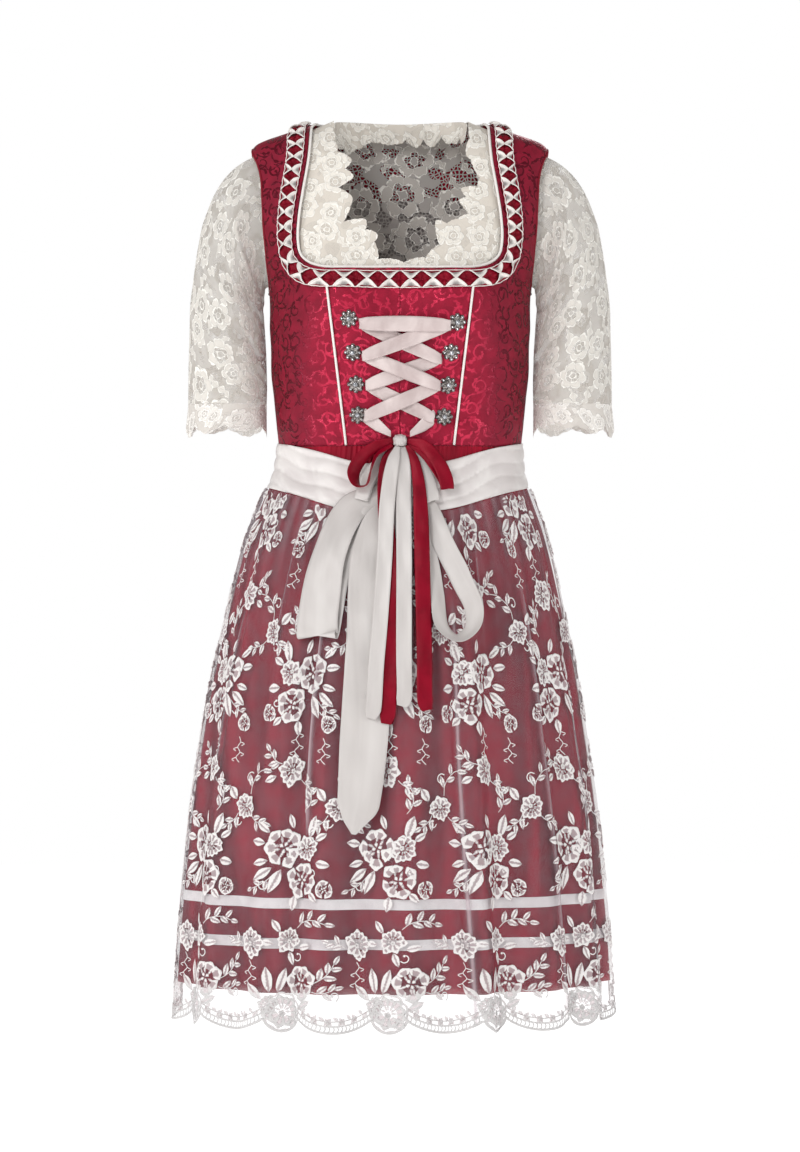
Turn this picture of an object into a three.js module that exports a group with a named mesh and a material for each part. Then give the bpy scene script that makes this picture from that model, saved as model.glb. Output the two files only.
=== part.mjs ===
// A dirndl as it is worn, with nobody in it: a square-necked brocade bodice laced over rosette hooks,
// a gathered satin skirt with two ribbon bands, a sheer apron tied with a sash, and a lace blouse.
// Millimetres, +Z up. The front faces -Y and the wearer's left is +X. The origin lies between the
// two shoulders, level with the neck side of the shoulder ridges, where the wearer carries the dress.
import * as THREE from "three";

// ---- Driving sizes ----
const waistZ = -389; // seam of bodice and skirt
const underarmZ = -205;
const neckFloorZ = -181; // bottom of the square neckline
const skirtHemZ = -1023;
const apronHemZ = -1052; // between the scallops of the apron's edge
const scallopDrop = 16; // how far a scallop hangs below that
const bodiceWall = 1.6;
const blouseWall = 1.0;
const sleeveWall = 1.0;
const skirtWall = 1.4;
const apronWall = 1.0;
const sashWall = 1.2;
const ribbonWall = 1.0;
const seamGap = 0.3;
const pipingRadius = 1.6;
const blouseLift = { neck: -5.4, edge: -7.2 }; // outer face of the blouse under the bodice's outer face
const laceRibbonWidth = 18;

// A table with named columns, one row for each section or fold.
const table = (columns, ...rows) =>
  rows.map((row) => Object.fromEntries(columns.map((name, i) => [name, row[i]])));

// ---- Sections of the bodice, from the neck down: half width, depth to the front, depth to the back ----
const bodySections = table(
  ["z", "half", "front", "back"],
  [16, 66, 30, 60],
  [0, 102, 38, 69],
  [-12, 137, 44, 74],
  [-27, 174, 52, 80],
  [-38, 180, 58, 84],
  [-80, 180, 75, 91],
  [-117, 176, 88, 94],
  [-160, 166, 101, 94],
  [-205, 156.5, 111, 91],
  [-250, 155.5, 112, 87],
  [-300, 154, 106, 84],
  [-350, 149, 100, 85],
  [-389, 145, 97, 88],
);
const bodySquareness = 2.3; // exponent of the rounded sections
const bust = { rise: 13, x: 82, z: -224, wide: 42, tall: 46 };

// ---- Sections of the skirt: the same columns, and how far the section stands to the side ----
const skirtSections = table(
  ["z", "half", "front", "back", "shift"],
  [-370, 147.2, 98.5, 86.5, 0],
  [-389, 145, 97, 88, 0],
  [-415, 147, 101, 97, -1],
  [-451, 160, 112, 116, -3],
  [-487, 173, 124, 133, -4],
  [-523, 183, 134, 147, -5],
  [-595, 199, 150, 166, -6],
  [-667, 214, 162, 180, -7],
  [-739, 225, 171, 192, -8],
  [-811, 235, 179, 201, -8],
  [-883, 242, 185, 208, -8],
  [-955, 248, 190, 214, -8],
  [-1023, 252, 194, 218, -8],
  [-1080, 255, 197, 221, -8],
);

// ---- Soft folds of the skirt, by angle from the front towards +X: each crest and the valley after it ----
const skirtFolds = table(
  ["crest", "rise", "valley", "dip"],
  [-79, 8, -70, 5],
  [-61, 8, -52, 5],
  [-42, 7, -33, 5],
  [-22, 9, -10, 6],
  [5, 7, 18, 5],
  [28, 12, 36, 10],
  [50, 7, 59, 5],
  [67, 9, 75, 5],
  [83, 8, 90, 5],
  [99, 9, 107, 6],
  [116, 8, 124, 6],
  [133, 10, 141, 6],
  [149, 8, 157, 7],
  [165, 10, 173, 6],
  [181, 8, 189, 7],
  [197, 10, 205, 6],
  [213, 8, 221, 7],
  [229, 10, 237, 6],
  [246, 8, 255, 6],
  [263, 9, 270, 5],
);
const foldTopZ = -420;

// ---- Neckline of the bodice in front view, from the middle to the ridge of the shoulder ----
const neckLine = table(
  ["x", "z"],
  [0, neckFloorZ],
  [50, neckFloorZ],
  [88, neckFloorZ + 1],
  [108, neckFloorZ + 7],
  [119, neckFloorZ + 18],
  [122.5, neckFloorZ + 35],
  [121.5, -118],
  [117, -86],
  [110, -42],
  [102, 0],
);
const princess = { top: 88, bottom: 63 }; // front seams, distance from the middle
const backPrincess = table(["x", "z"], [58, waistZ], [65, -330], [82, -250], [106, -192], [130, -158]);
const armholeZ = -117;
const armhole = { tall: 88, front: 41, back: 51 };
const sleeveHead = { tall: 81, front: 32, back: 41 }; // the smaller armhole of the blouse
const backSeamTurn = 0.71; // where the back seam runs into the armhole
const cuff = { x: 207, z: -337, half: 47, depth: 56 };
const cuffLace = { deep: 26, points: 7, drop: 12 };

// ---- Small tools ----
const vec = (x, y, z) => new THREE.Vector3(x, y, z);
const lerp = THREE.MathUtils.lerp;
const rad = THREE.MathUtils.degToRad;
const span = (n) => Array.from({ length: n + 1 }, (_, i) => i / n);

// Reads a column of a table at a height, with a curve that never overshoots its rows.
function read(rows, column, z) {
  const last = rows.length - 1;
  let i = 0;
  while (i < last - 1 && rows[i + 1].z > z) i++;
  const rise = (k) => (rows[k + 1][column] - rows[k][column]) / (rows[k + 1].z - rows[k].z);
  const slope = (k) => {
    if (k === 0) return rise(0);
    if (k === last) return rise(last - 1);
    const before = rise(k - 1);
    const after = rise(k);
    return before * after <= 0 ? 0 : (2 * before * after) / (before + after);
  };
  const height = rows[i + 1].z - rows[i].z;
  const t = THREE.MathUtils.clamp((z - rows[i].z) / height, 0, 1);
  const [t2, t3] = [t * t, t * t * t];
  return (
    (2 * t3 - 3 * t2 + 1) * rows[i][column] +
    (t3 - 2 * t2 + t) * height * slope(i) +
    (3 * t2 - 2 * t3) * rows[i + 1][column] +
    (t3 - t2) * height * slope(i + 1)
  );
}

// ---- The form of the bodice: a closed surface that its panels, trims and laces lie on ----
function bustRise(x, y, z) {
  const across = (Math.abs(x) - bust.x) / bust.wide;
  const up = (z - bust.z) / bust.tall;
  return bust.rise * Math.exp(-across * across - up * up) * THREE.MathUtils.smoothstep(-y, 0, 50);
}

// Below zero inside the form, above zero outside it.
function formValue(x, y, z) {
  const depth = y < 0 ? read(bodySections, "front", z) : read(bodySections, "back", z);
  const across = Math.abs(x) / read(bodySections, "half", z);
  const along = Math.abs(Math.min(y + bustRise(x, y, z), y < 0 ? 0 : Infinity)) / depth;
  return across ** bodySquareness + along ** bodySquareness - 1;
}

function formSlope(p) {
  const h = 0.05;
  return vec(
    formValue(p.x + h, p.y, p.z) - formValue(p.x - h, p.y, p.z),
    formValue(p.x, p.y + h, p.z) - formValue(p.x, p.y - h, p.z),
    formValue(p.x, p.y, p.z + h) - formValue(p.x, p.y, p.z - h),
  ).divideScalar(2 * h);
}

const formNormal = (p) => formSlope(p).normalize();

// The nearest place on the form, moved out by a lift.
function settle(point, lift = 0) {
  const p = point.clone();
  for (let i = 0; i < 7; i++) {
    const slope = formSlope(p);
    p.addScaledVector(slope, -formValue(p.x, p.y, p.z) / slope.lengthSq());
  }
  return lift ? p.addScaledVector(formNormal(p), lift) : p;
}

// Points of the form seen from the front and from the side.
function onFront(x, z, lift = 0) {
  const across = Math.min(1, Math.abs(x) / read(bodySections, "half", z));
  const flat = read(bodySections, "front", z) * (1 - across ** bodySquareness) ** (1 / bodySquareness);
  let y = -flat;
  for (let i = 0; i < 6; i++) y = -flat - bustRise(x, y, z);
  const p = vec(x, y, z);
  return lift ? p.addScaledVector(formNormal(p), lift) : p;
}

function onBack(x, z) {
  const across = Math.min(1, Math.abs(x) / read(bodySections, "half", z));
  const y = read(bodySections, "back", z) * (1 - across ** bodySquareness) ** (1 / bodySquareness);
  return vec(x, y, z);
}

function onSide(y, z, side = 1) {
  const depth = read(bodySections, y < 0 ? "front" : "back", z);
  const along = Math.min(1, Math.abs(y) / depth) ** bodySquareness;
  return vec(side * read(bodySections, "half", z) * (1 - along) ** (1 / bodySquareness), y, z);
}

// ---- The form of the skirt: folded sections, by angle from the front and by height ----
// Every crest and valley in turn, with its height out of the unfolded section.
const foldMarks = skirtFolds.flatMap(({ crest, rise, valley, dip }) => [[crest, rise], [valley, -dip]]);

function foldRise(degrees, z) {
  const grow = THREE.MathUtils.clamp((foldTopZ - z) / (foldTopZ - skirtHemZ), 0, 1) ** 0.75;
  const turn = THREE.MathUtils.euclideanModulo(degrees - foldMarks[0][0], 360) + foldMarks[0][0];
  const next = foldMarks.findIndex(([at]) => at > turn);
  const after = next < 0 ? [foldMarks[0][0] + 360, foldMarks[0][1]] : foldMarks[next];
  const before = foldMarks.at(next < 0 ? -1 : next - 1);
  const share = (turn - before[0]) / (after[0] - before[0]);
  return grow * lerp(before[1], after[1], 0.5 - 0.5 * Math.cos(Math.PI * share));
}

function skirtSkin(degrees, z, folded = 1) {
  const [across, ahead] = [Math.sin(rad(degrees)), -Math.cos(rad(degrees))];
  const depth = read(skirtSections, ahead < 0 ? "front" : "back", z);
  const wide = Math.abs(across) / read(skirtSections, "half", z);
  const deep = Math.abs(ahead) / depth;
  const radius = (wide ** bodySquareness + deep ** bodySquareness) ** (-1 / bodySquareness);
  const r = radius + folded * foldRise(degrees, z);
  return vec(read(skirtSections, "shift", z) + r * across, r * ahead, z);
}

function onSkirt(degrees, z, lift, folded = 1) {
  const east = skirtSkin(degrees + 0.4, z, folded).sub(skirtSkin(degrees - 0.4, z, folded));
  const north = skirtSkin(degrees, z + 1, folded).sub(skirtSkin(degrees, z - 1, folded));
  return skirtSkin(degrees, z, folded).addScaledVector(east.cross(north).normalize(), lift);
}

// A place in front of the bodice or of the unfolded skirt, seen from the front.
function before(x, z, lift) {
  if (z > waistZ) return onFront(x, z, lift);
  const flat = (u, w) => {
    const across = Math.abs(u - read(skirtSections, "shift", w)) / read(skirtSections, "half", w);
    const depth = read(skirtSections, "front", w);
    return vec(u, -depth * (1 - Math.min(1, across) ** bodySquareness) ** (1 / bodySquareness), w);
  };
  const east = flat(x + 1, z).sub(flat(x - 1, z));
  const north = flat(x, z + 1).sub(flat(x, z - 1));
  return flat(x, z).addScaledVector(east.cross(north).normalize(), lift);
}

// ---- Solids from rows of points ----
function solid(points, faces) {
  const geometry = new THREE.BufferGeometry();
  const at = new THREE.Float32BufferAttribute(points.flatMap((p) => [p.x, p.y, p.z]), 3);
  let volume = 0;
  for (const [a, b, c] of faces) volume += points[a].dot(points[b].clone().cross(points[c]));
  geometry.setAttribute("position", at);
  geometry.setIndex((volume < 0 ? faces.map(([a, b, c]) => [a, c, b]) : faces).flat());
  geometry.computeVertexNormals();
  return geometry;
}

// Closed loops of points, one after another, skinned and capped, or joined end to end.
function skin(loops, ring = false) {
  const n = loops[0].length;
  const faces = [];
  const rows = ring ? loops.length : loops.length - 1;
  for (let k = 0; k < rows; k++)
    for (let j = 0; j < n; j++) {
      const [a, b] = [k * n + j, k * n + ((j + 1) % n)];
      const [c, d] = [((k + 1) % loops.length) * n + j, ((k + 1) % loops.length) * n + ((j + 1) % n)];
      faces.push([a, b, d], [a, d, c]);
    }
  if (!ring) {
    const end = (loops.length - 1) * n;
    for (let j = 1; j < n - 1; j++) faces.push([0, j + 1, j], [end, end + j, end + j + 1]);
  }
  return solid(loops.flat(), faces);
}

// A cloth wall between an outer and an inner grid of points; a tube where the rows close.
function wall(outer, inner, closed = false) {
  const [rows, columns] = [outer.length, outer[0].length];
  const faces = [];
  const at = (layer, j, i) => layer * rows * columns + j * columns + (i % columns);
  const quad = (a, b, c, d) => faces.push([a, b, c], [a, c, d]);
  const across = closed ? columns : columns - 1;
  for (let j = 0; j < rows - 1; j++)
    for (let i = 0; i < across; i++) {
      quad(at(0, j, i), at(0, j, i + 1), at(0, j + 1, i + 1), at(0, j + 1, i));
      quad(at(1, j, i), at(1, j + 1, i), at(1, j + 1, i + 1), at(1, j, i + 1));
    }
  for (let i = 0; i < across; i++) {
    quad(at(0, 0, i), at(1, 0, i), at(1, 0, i + 1), at(0, 0, i + 1));
    const top = rows - 1;
    quad(at(0, top, i), at(0, top, i + 1), at(1, top, i + 1), at(1, top, i));
  }
  if (!closed)
    for (let j = 0; j < rows - 1; j++) {
      quad(at(0, j, 0), at(0, j + 1, 0), at(1, j + 1, 0), at(1, j, 0));
      const end = columns - 1;
      quad(at(0, j, end), at(1, j, end), at(1, j + 1, end), at(0, j + 1, end));
    }
  return solid([...outer.flat(), ...inner.flat()], faces);
}

// A round cord along points on the form.
function cord(points, radius, ring = false, sides = 5) {
  const n = points.length;
  const loops = points.map((p, k) => {
    const ahead = ring ? points[(k + 1) % n] : points[Math.min(k + 1, n - 1)];
    const behind = ring ? points[(k + n - 1) % n] : points[Math.max(k - 1, 0)];
    const along = ahead.clone().sub(behind).normalize();
    const up = formNormal(p).projectOnPlane(along).normalize();
    const side = along.clone().cross(up);
    return span(sides)
      .slice(0, sides)
      .map((t) => {
        const turn = 2 * Math.PI * t + Math.PI / 2;
        return p.clone().addScaledVector(side, radius * Math.cos(turn)).addScaledVector(up, radius * Math.sin(turn));
      });
  });
  return skin(loops, ring);
}

// A flat ribbon along a path: each step has a place, the direction across the ribbon, and a width.
function ribbon(steps, thick = ribbonWall) {
  const loops = steps.map(({ at, across, width }, k) => {
    const ahead = steps[Math.min(k + 1, steps.length - 1)].at;
    const behind = steps[Math.max(k - 1, 0)].at;
    const wide = across.clone().normalize();
    const out = ahead.clone().sub(behind).cross(wide).normalize();
    const corner = (w, h) =>
      at
        .clone()
        .addScaledVector(wide, (w * width) / 2)
        .addScaledVector(out, (h * thick) / 2);
    return [corner(-1, -1), corner(1, -1), corner(1, 1), corner(-1, 1)];
  });
  return skin(loops);
}

// ---- Materials ----
const material = (color, roughness, metalness = 0) =>
  new THREE.MeshStandardMaterial({ color, roughness, metalness, side: THREE.DoubleSide });
const brocade = material(0x9c1a30, 0.45);
const redSatin = material(0x86182c, 0.4);
const whiteSatin = material(0xe6e1dc, 0.35);
const whitePiping = material(0xecdedb, 0.5);
const lace = material(0xe2dcd0, 0.85);
const sheer = material(0xb98f97, 0.7);
const oldSilver = material(0x6f6a66, 0.35, 0.9);

const dirndl = new THREE.Group();
function add(name, geometry, finish) {
  const mesh = new THREE.Mesh(geometry, finish);
  mesh.name = name;
  dirndl.add(mesh);
  return mesh;
}

// ---- Edges of the bodice ----
// A smooth curve through points, read by share of its length.
function curveThrough(points) {
  const curve = new THREE.CatmullRomCurve3(points, false, "centripetal");
  curve.arcLengthDivisions = 400;
  return (t) => curve.getPointAt(THREE.MathUtils.clamp(t, 0, 1));
}
const sides = [[1, "left"], [-1, "right"]];
const mirror = (p, side) => vec(p.x * side, p.y, p.z);

// The neckline: from the middle of the front to the ridge, then on to the middle of the back.
const neckFront = curveThrough(neckLine.map(({ x, z }) => onFront(x, z)));
const neckBack = curveThrough(
  span(8).map((t) => {
    const turn = (Math.PI / 2) * t;
    return settle(vec(102 * Math.cos(turn), 69 * Math.sin(turn), -4 * Math.sin(turn) ** 2));
  }),
);

// The armhole as an egg in side view: turn 0 is its top, and its front is the first half.
function armholePoint(turn, hole) {
  const angle = 2 * Math.PI * turn;
  const y = -Math.sin(angle) * (turn < 0.5 ? hole.front : hole.back);
  return onSide(y, armholeZ + hole.tall * Math.cos(angle));
}
const dressHole = (turn) => armholePoint(turn, armhole);

const waistSeam = waistZ + seamGap / 2;
const waistFront = (x) => onFront(x, waistSeam);
const waistAt = (degrees) => settle(skirtSkin(degrees, waistSeam, 0));
const turnOf = (p) => THREE.MathUtils.radToDeg(Math.atan2(p.x, -p.y));
const sideSeam = (t) => onSide(0, lerp(waistSeam, underarmZ, t));
const princessSeam = (t) =>
  onFront(lerp(princess.bottom, princess.top, t), lerp(waistSeam, neckFloorZ + 1, t));
const backSeam = curveThrough([
  ...backPrincess.map(({ x, z }) => onBack(x, Math.max(z, waistSeam))),
  dressHole(backSeamTurn),
]);
const ridge = (t) => onSide(0, lerp(0, armholeZ + armhole.tall, t));

// Where the front princess seam meets the neckline, as a share of the neckline.
const neckBreak = span(1000).find((t) => neckFront(t).x >= princess.top);

// One edge made of two curves, which meet after a share of the rows.
const joined = (share, first, second) => (t) =>
  t <= share ? first(t / share) : second((t - share) / (1 - share));

// Fills four edges, each a function of 0 to 1, and lays every point on the form.
function patch({ bottom, top, start, end }, columns, rows) {
  const corners = [start(0), end(0), start(1), end(1)];
  const tall = start(0.5).distanceTo(start(0)) * 2;
  return span(rows).map((v) => {
    const t = lerp(seamGap / 2 / tall, 1 - seamGap / 2 / tall, v);
    const wide = Math.max(6, start(t).distanceTo(end(t)));
    return span(columns).map((u) => {
      const s = lerp(seamGap / 2 / wide, 1 - seamGap / 2 / wide, u);
      const weights = [-(1 - s) * (1 - t), -s * (1 - t), -(1 - s) * t, -s * t];
      const p = start(t).multiplyScalar(1 - s).addScaledVector(end(t), s);
      p.addScaledVector(bottom(s), 1 - t).addScaledVector(top(s), t);
      corners.forEach((corner, i) => p.addScaledVector(corner, weights[i]));
      return settle(p);
    });
  });
}

const lifted = (grid, lift) => grid.map((row) => row.map((p) => p.clone().addScaledVector(formNormal(p), lift)));
const panel = (grid, outer = 0, thick = bodiceWall) => wall(lifted(grid, outer), lifted(grid, outer - thick));
const mirrored = (grid, side) => grid.map((row) => row.map((p) => mirror(p, side)));

// ---- Bodice ----
const seamRows = 8;
const strapRows = 8;
const seamShare = seamRows / (seamRows + strapRows);
const eased = (t) => t ** 1.25;

const frontPanel = patch(
  {
    bottom: (s) => waistFront(princess.bottom * s),
    top: (s) => neckFront(neckBreak * s),
    start: (t) => onFront(0, lerp(waistSeam, neckFloorZ, t)),
    end: (t) => (t < 1 ? princessSeam(t) : neckFront(neckBreak)),
  },
  4,
  seamRows,
);
const frontSidePanel = patch(
  {
    bottom: (s) => waistAt(lerp(turnOf(waistFront(princess.bottom)), 90, s)),
    top: ridge,
    start: joined(seamShare, princessSeam, (t) => neckFront(lerp(neckBreak, 1, eased(t)))),
    end: joined(seamShare, sideSeam, (t) => dressHole(0.5 - 0.5 * t)),
  },
  5,
  seamRows + strapRows,
);
const backOutline = joined(seamShare, backSeam, (t) => dressHole(lerp(backSeamTurn, 1, t)));
const backTop = joined(4 / 7, (t) => neckBack(1 - t), ridge);
const backPanel = patch(
  {
    bottom: (s) => onBack(lerp(-backPrincess[0].x, backPrincess[0].x, s), waistSeam),
    top: (s) => (s < 0.5 ? mirror(backTop(1 - 2 * s), -1) : backTop(2 * s - 1)),
    start: (t) => mirror(backOutline(t), -1),
    end: backOutline,
  },
  14,
  seamRows + strapRows,
);
const backSidePanel = patch(
  {
    bottom: (s) => waistAt(lerp(turnOf(backSeam(0)), 90, s)),
    top: (s) => dressHole(lerp(backSeamTurn, 0.5, s)),
    start: backSeam,
    end: sideSeam,
  },
  4,
  seamRows,
);
for (const [side, name] of sides) {
  add(`bodice_front_${name}`, panel(mirrored(frontPanel, side)), brocade);
  add(`bodice_front_side_${name}`, panel(mirrored(frontSidePanel, side)), brocade);
  add(`bodice_back_side_${name}`, panel(mirrored(backSidePanel, side)), brocade);
}
add("bodice_back", panel(backPanel), brocade);

// ---- Piping ----
// A cord that follows points of a panel's edge, moved across the form and out from it.
function edgeCord(points, away, lift, radius, ring) {
  const n = points.length;
  const moved = points.map((p, k) => {
    const ahead = ring ? points[(k + 1) % n] : points[Math.min(k + 1, n - 1)];
    const behind = ring ? points[(k + n - 1) % n] : points[Math.max(k - 1, 0)];
    const across = formNormal(p).cross(ahead.clone().sub(behind)).normalize();
    return settle(p.clone().addScaledVector(across, away), lift);
  });
  return cord(moved, radius, ring);
}

const halfNeck = [
  ...frontPanel.at(-1),
  ...frontSidePanel.slice(seamRows + 1).map((row) => row[0]),
  ...backPanel.at(-1).slice(7, 11).reverse(),
];
const neckRing = [...halfNeck, ...halfNeck.slice(1, -1).reverse().map((p) => mirror(p, -1))];
add("neck_piping", edgeCord(neckRing, pipingRadius + seamGap, -bodiceWall / 2, pipingRadius, true), whitePiping);

const holeRing = [
  ...frontSidePanel.slice(seamRows).map((row) => row.at(-1)).reverse(),
  ...backSidePanel.at(-1).slice(0, -1).reverse(),
  ...backPanel.slice(seamRows + 1).map((row) => row.at(-1)),
];
const princessEdge = frontPanel.slice(0, -1).map((row) => row.at(-1));
for (const [side, name] of sides) {
  const hole = holeRing.map((p) => mirror(p, side));
  const away = side * (pipingRadius + seamGap);
  add(`armhole_piping_${name}`, edgeCord(hole, away, -bodiceWall / 2, pipingRadius, true), brocade);
  const edge = princessEdge.map((p) => mirror(p, side));
  add(`princess_piping_${name}`, edgeCord(edge, 0, pipingRadius + seamGap, pipingRadius, false), whitePiping);
}

// ---- Trim round the neckline: a band pinched into a row of shells, over each ridge and just behind it ----
const neckStrip = 4.5; // bodice left bare between piping and trim
const trimWidth = 20;
const trimRise = { low: 1.4, high: 4.6 };
const shellPitch = { bottom: 25.7, strap: 18.4 };

// Neckline by distance from the middle of the front, with room beside it.
const neckShares = 300;
const neckWalk = [...span(neckShares).map(neckFront), ...span(neckShares).slice(1).map(neckBack)];
const neckMiles = neckWalk.map(() => 0);
for (let i = 1; i < neckWalk.length; i++)
  neckMiles[i] = neckMiles[i - 1] + neckWalk[i].distanceTo(neckWalk[i - 1]);
const ridgeMile = neckMiles[neckShares];

function neckAt(mile) {
  const next = Math.max(1, neckMiles.findIndex((m) => m >= mile));
  const share = (mile - neckMiles[next - 1]) / (neckMiles[next] - neckMiles[next - 1]);
  return neckWalk[next - 1].clone().lerp(neckWalk[next], share);
}

function besideNeck(mile, away, lift) {
  const m = Math.abs(mile);
  const p = neckAt(m);
  const along = neckAt(m + 3).sub(neckAt(Math.max(0, m - 3)));
  const q = settle(p.clone().addScaledVector(along.cross(formNormal(p)).normalize(), away), lift);
  return mirror(q, Math.sign(mile) || 1);
}

// Shell by shell from the middle: the distance along the neckline at which each one ends.
const shellEnds = [shellPitch.bottom / 2];
while (shellEnds.at(-1) < ridgeMile + 4) {
  const reached = THREE.MathUtils.smoothstep(shellEnds.at(-1), 80, 110);
  shellEnds.push(shellEnds.at(-1) + lerp(shellPitch.bottom, shellPitch.strap - 1, reached));
}
const halves = shellEnds.flatMap((end, k) => [[end, 1], [(end + (shellEnds[k + 1] ?? end + 16)) / 2, -1]]);
const trimSteps = [...halves.map(([mile, pinch]) => [-mile, pinch]).reverse(), [0, -1], ...halves];
const trimMiddle = neckStrip + trimWidth / 2;
const trimLoops = trimSteps.map(([mile, pinch]) => {
  const lift = (w) => lerp(trimRise.low, trimRise.high, 0.5 + 0.5 * pinch * Math.cos(Math.PI * w));
  const at = (w, h) => besideNeck(mile, trimMiddle + (w * trimWidth) / 2, h);
  const base = 1.3;
  return [at(-1, base), at(1, base), at(1, base + lift(1)), at(0, base + lift(0)), at(-1, base + lift(-1))];
});
add("neck_trim", skin(trimLoops), redSatin);

// ---- Rosette hooks ----
const hooks = table(
  ["name", "x", "z"],
  ["right_1", -59.9, -241],
  ["right_2", -55.2, -280],
  ["right_3", -51.7, -317],
  ["right_4", -49.3, -353],
  ["left_1", 67, -245],
  ["left_2", 59.9, -280],
  ["left_3", 56.4, -318],
  ["left_4", 51.7, -355],
);
const hookSize = { petal: 11, notch: 9, deep: 5.4 };

function rosette(x, z) {
  const middle = onFront(x, z);
  const out = formNormal(middle);
  const east = vec(1, 0, 0).projectOnPlane(out).normalize();
  const north = out.clone().cross(east);
  const ring = (share, lift) =>
    span(16)
      .slice(0, 16)
      .map((t, k) => {
        const r = share * (k % 2 ? hookSize.notch : hookSize.petal);
        const [c, d] = [Math.cos(2 * Math.PI * t), Math.sin(2 * Math.PI * t)];
        return settle(middle.clone().addScaledVector(east, r * c).addScaledVector(north, r * d), lift);
      });
  return skin([ring(0.9, 0.4), ring(1, 1.7), ring(0.45, hookSize.deep)]);
}
for (const { name, x, z } of hooks) add(`hook_${name}`, rosette(x, z), oldSilver);

// ---- Ribbons in front: each row has a place, a lift from the form and a width ----
// The width lies along a lean from level, or square to the ribbon's run, and tips out by an angle.
const frontNormal = (p) => {
  const [x, z] = [p.x, p.z];
  return before(x, z, 1).sub(before(x, z, 0)).normalize();
};

function stepAcross(along, out, lean, tip) {
  const level = lean === undefined ? along.clone().cross(out) : vec(Math.cos(rad(lean)), 0, Math.sin(rad(lean)));
  const flat = level.projectOnPlane(out).normalize();
  return flat.multiplyScalar(Math.cos(rad(tip))).addScaledVector(out, Math.sin(rad(tip))).projectOnPlane(along);
}

function strip(rows, stations, thick = ribbonWall) {
  const curve = new THREE.CatmullRomCurve3(rows.map(({ x, z, lift }) => before(x, z, lift)), false, "centripetal");
  const steps = span(stations).map((t) => {
    const k = Math.min(Math.floor(t * (rows.length - 1)), rows.length - 2);
    const share = t * (rows.length - 1) - k;
    const mix = (column) => (column in rows[0] ? lerp(rows[k][column], rows[k + 1][column], share) : undefined);
    const at = curve.getPoint(t);
    const across = stepAcross(curve.getTangent(t), frontNormal(at), mix("lean"), mix("tip") ?? 0);
    return { at, across, width: mix("width") };
  });
  return ribbon(steps, thick);
}

// The lacing, one ribbon: up from the knot over the hooks by turns, across the top, and down again.
const laceTurns = table(
  ["x", "z", "comes", "goes"],
  [-10.5, -375, 8, 8],
  [-39.9, -354, 5, 7.8],
  [45.3, -318, 5, 7.8],
  [-42.3, -283, 5, 7.8],
  [58, -248, 5, 8.6],
  [-46.6, -246.6, 4.4, 1.6],
  [47, -287, 4.4, 1.6],
  [-38.8, -318, 4.4, 1.6],
  [38.8, -356, 4.4, 1.6],
  [11.5, -375, 8, 8],
);

function lacing() {
  const steps = [];
  for (let k = 0; k < laceTurns.length - 1; k++) {
    const [from, to] = [laceTurns[k], laceTurns[k + 1]];
    const lean = 90 + THREE.MathUtils.radToDeg(Math.atan((to.z - from.z) / (to.x - from.x)));
    const top = from.goes > 8.5;
    const atKnot = (s) => (k === 0 ? s : k === laceTurns.length - 2 ? 1 - s : 1);
    for (const s of [0, 0.25, 0.5, 0.75, 1]) {
      const lift = lerp(from.goes, to.comes, top ? s ** 3 : THREE.MathUtils.smoothstep(s, 0, 1));
      const at = before(lerp(from.x, to.x, s), lerp(from.z, to.z, s), lift);
      const width = lerp(7, laceRibbonWidth, Math.min(1, 1.6 * atKnot(s)));
      steps.push({ at, across: stepAcross(vec(Math.sign(to.x - from.x), 0, 0), frontNormal(at), lean, 0), width });
    }
    if (k === laceTurns.length - 2) continue;
    const at = before(to.x + 1.4 * Math.sign(to.x), to.z, (to.comes + to.goes) / 2);
    steps.push({ at, across: vec(0, 0, 1).projectOnPlane(frontNormal(at)), width: laceRibbonWidth });
  }
  return ribbon(steps);
}
add("lacing", lacing(), whiteSatin);

// ---- Knots: rounded blocks standing out from the front ----
function knot({ x, z, wide, tall, low, high }) {
  const ring = (share, lift) =>
    span(8)
      .slice(0, 8)
      .map((t) => {
        const [c, d] = [Math.cos(2 * Math.PI * t), Math.sin(2 * Math.PI * t)];
        return before(x + share * wide * c, z + share * tall * d, lift);
      });
  const middle = (low + high) / 2;
  return skin([ring(0.7, low), ring(1, lerp(low, middle, 0.6)), ring(1, lerp(high, middle, 0.6)), ring(0.6, high)]);
}
add("bow_knot", knot({ x: 0, z: -383, wide: 8, tall: 7, low: 0.4, high: 13 }), whiteSatin);
add("sash_knot", knot({ x: 2, z: -441, wide: 14, tall: 14, low: 4.1, high: 13.5 }), whiteSatin);

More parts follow.
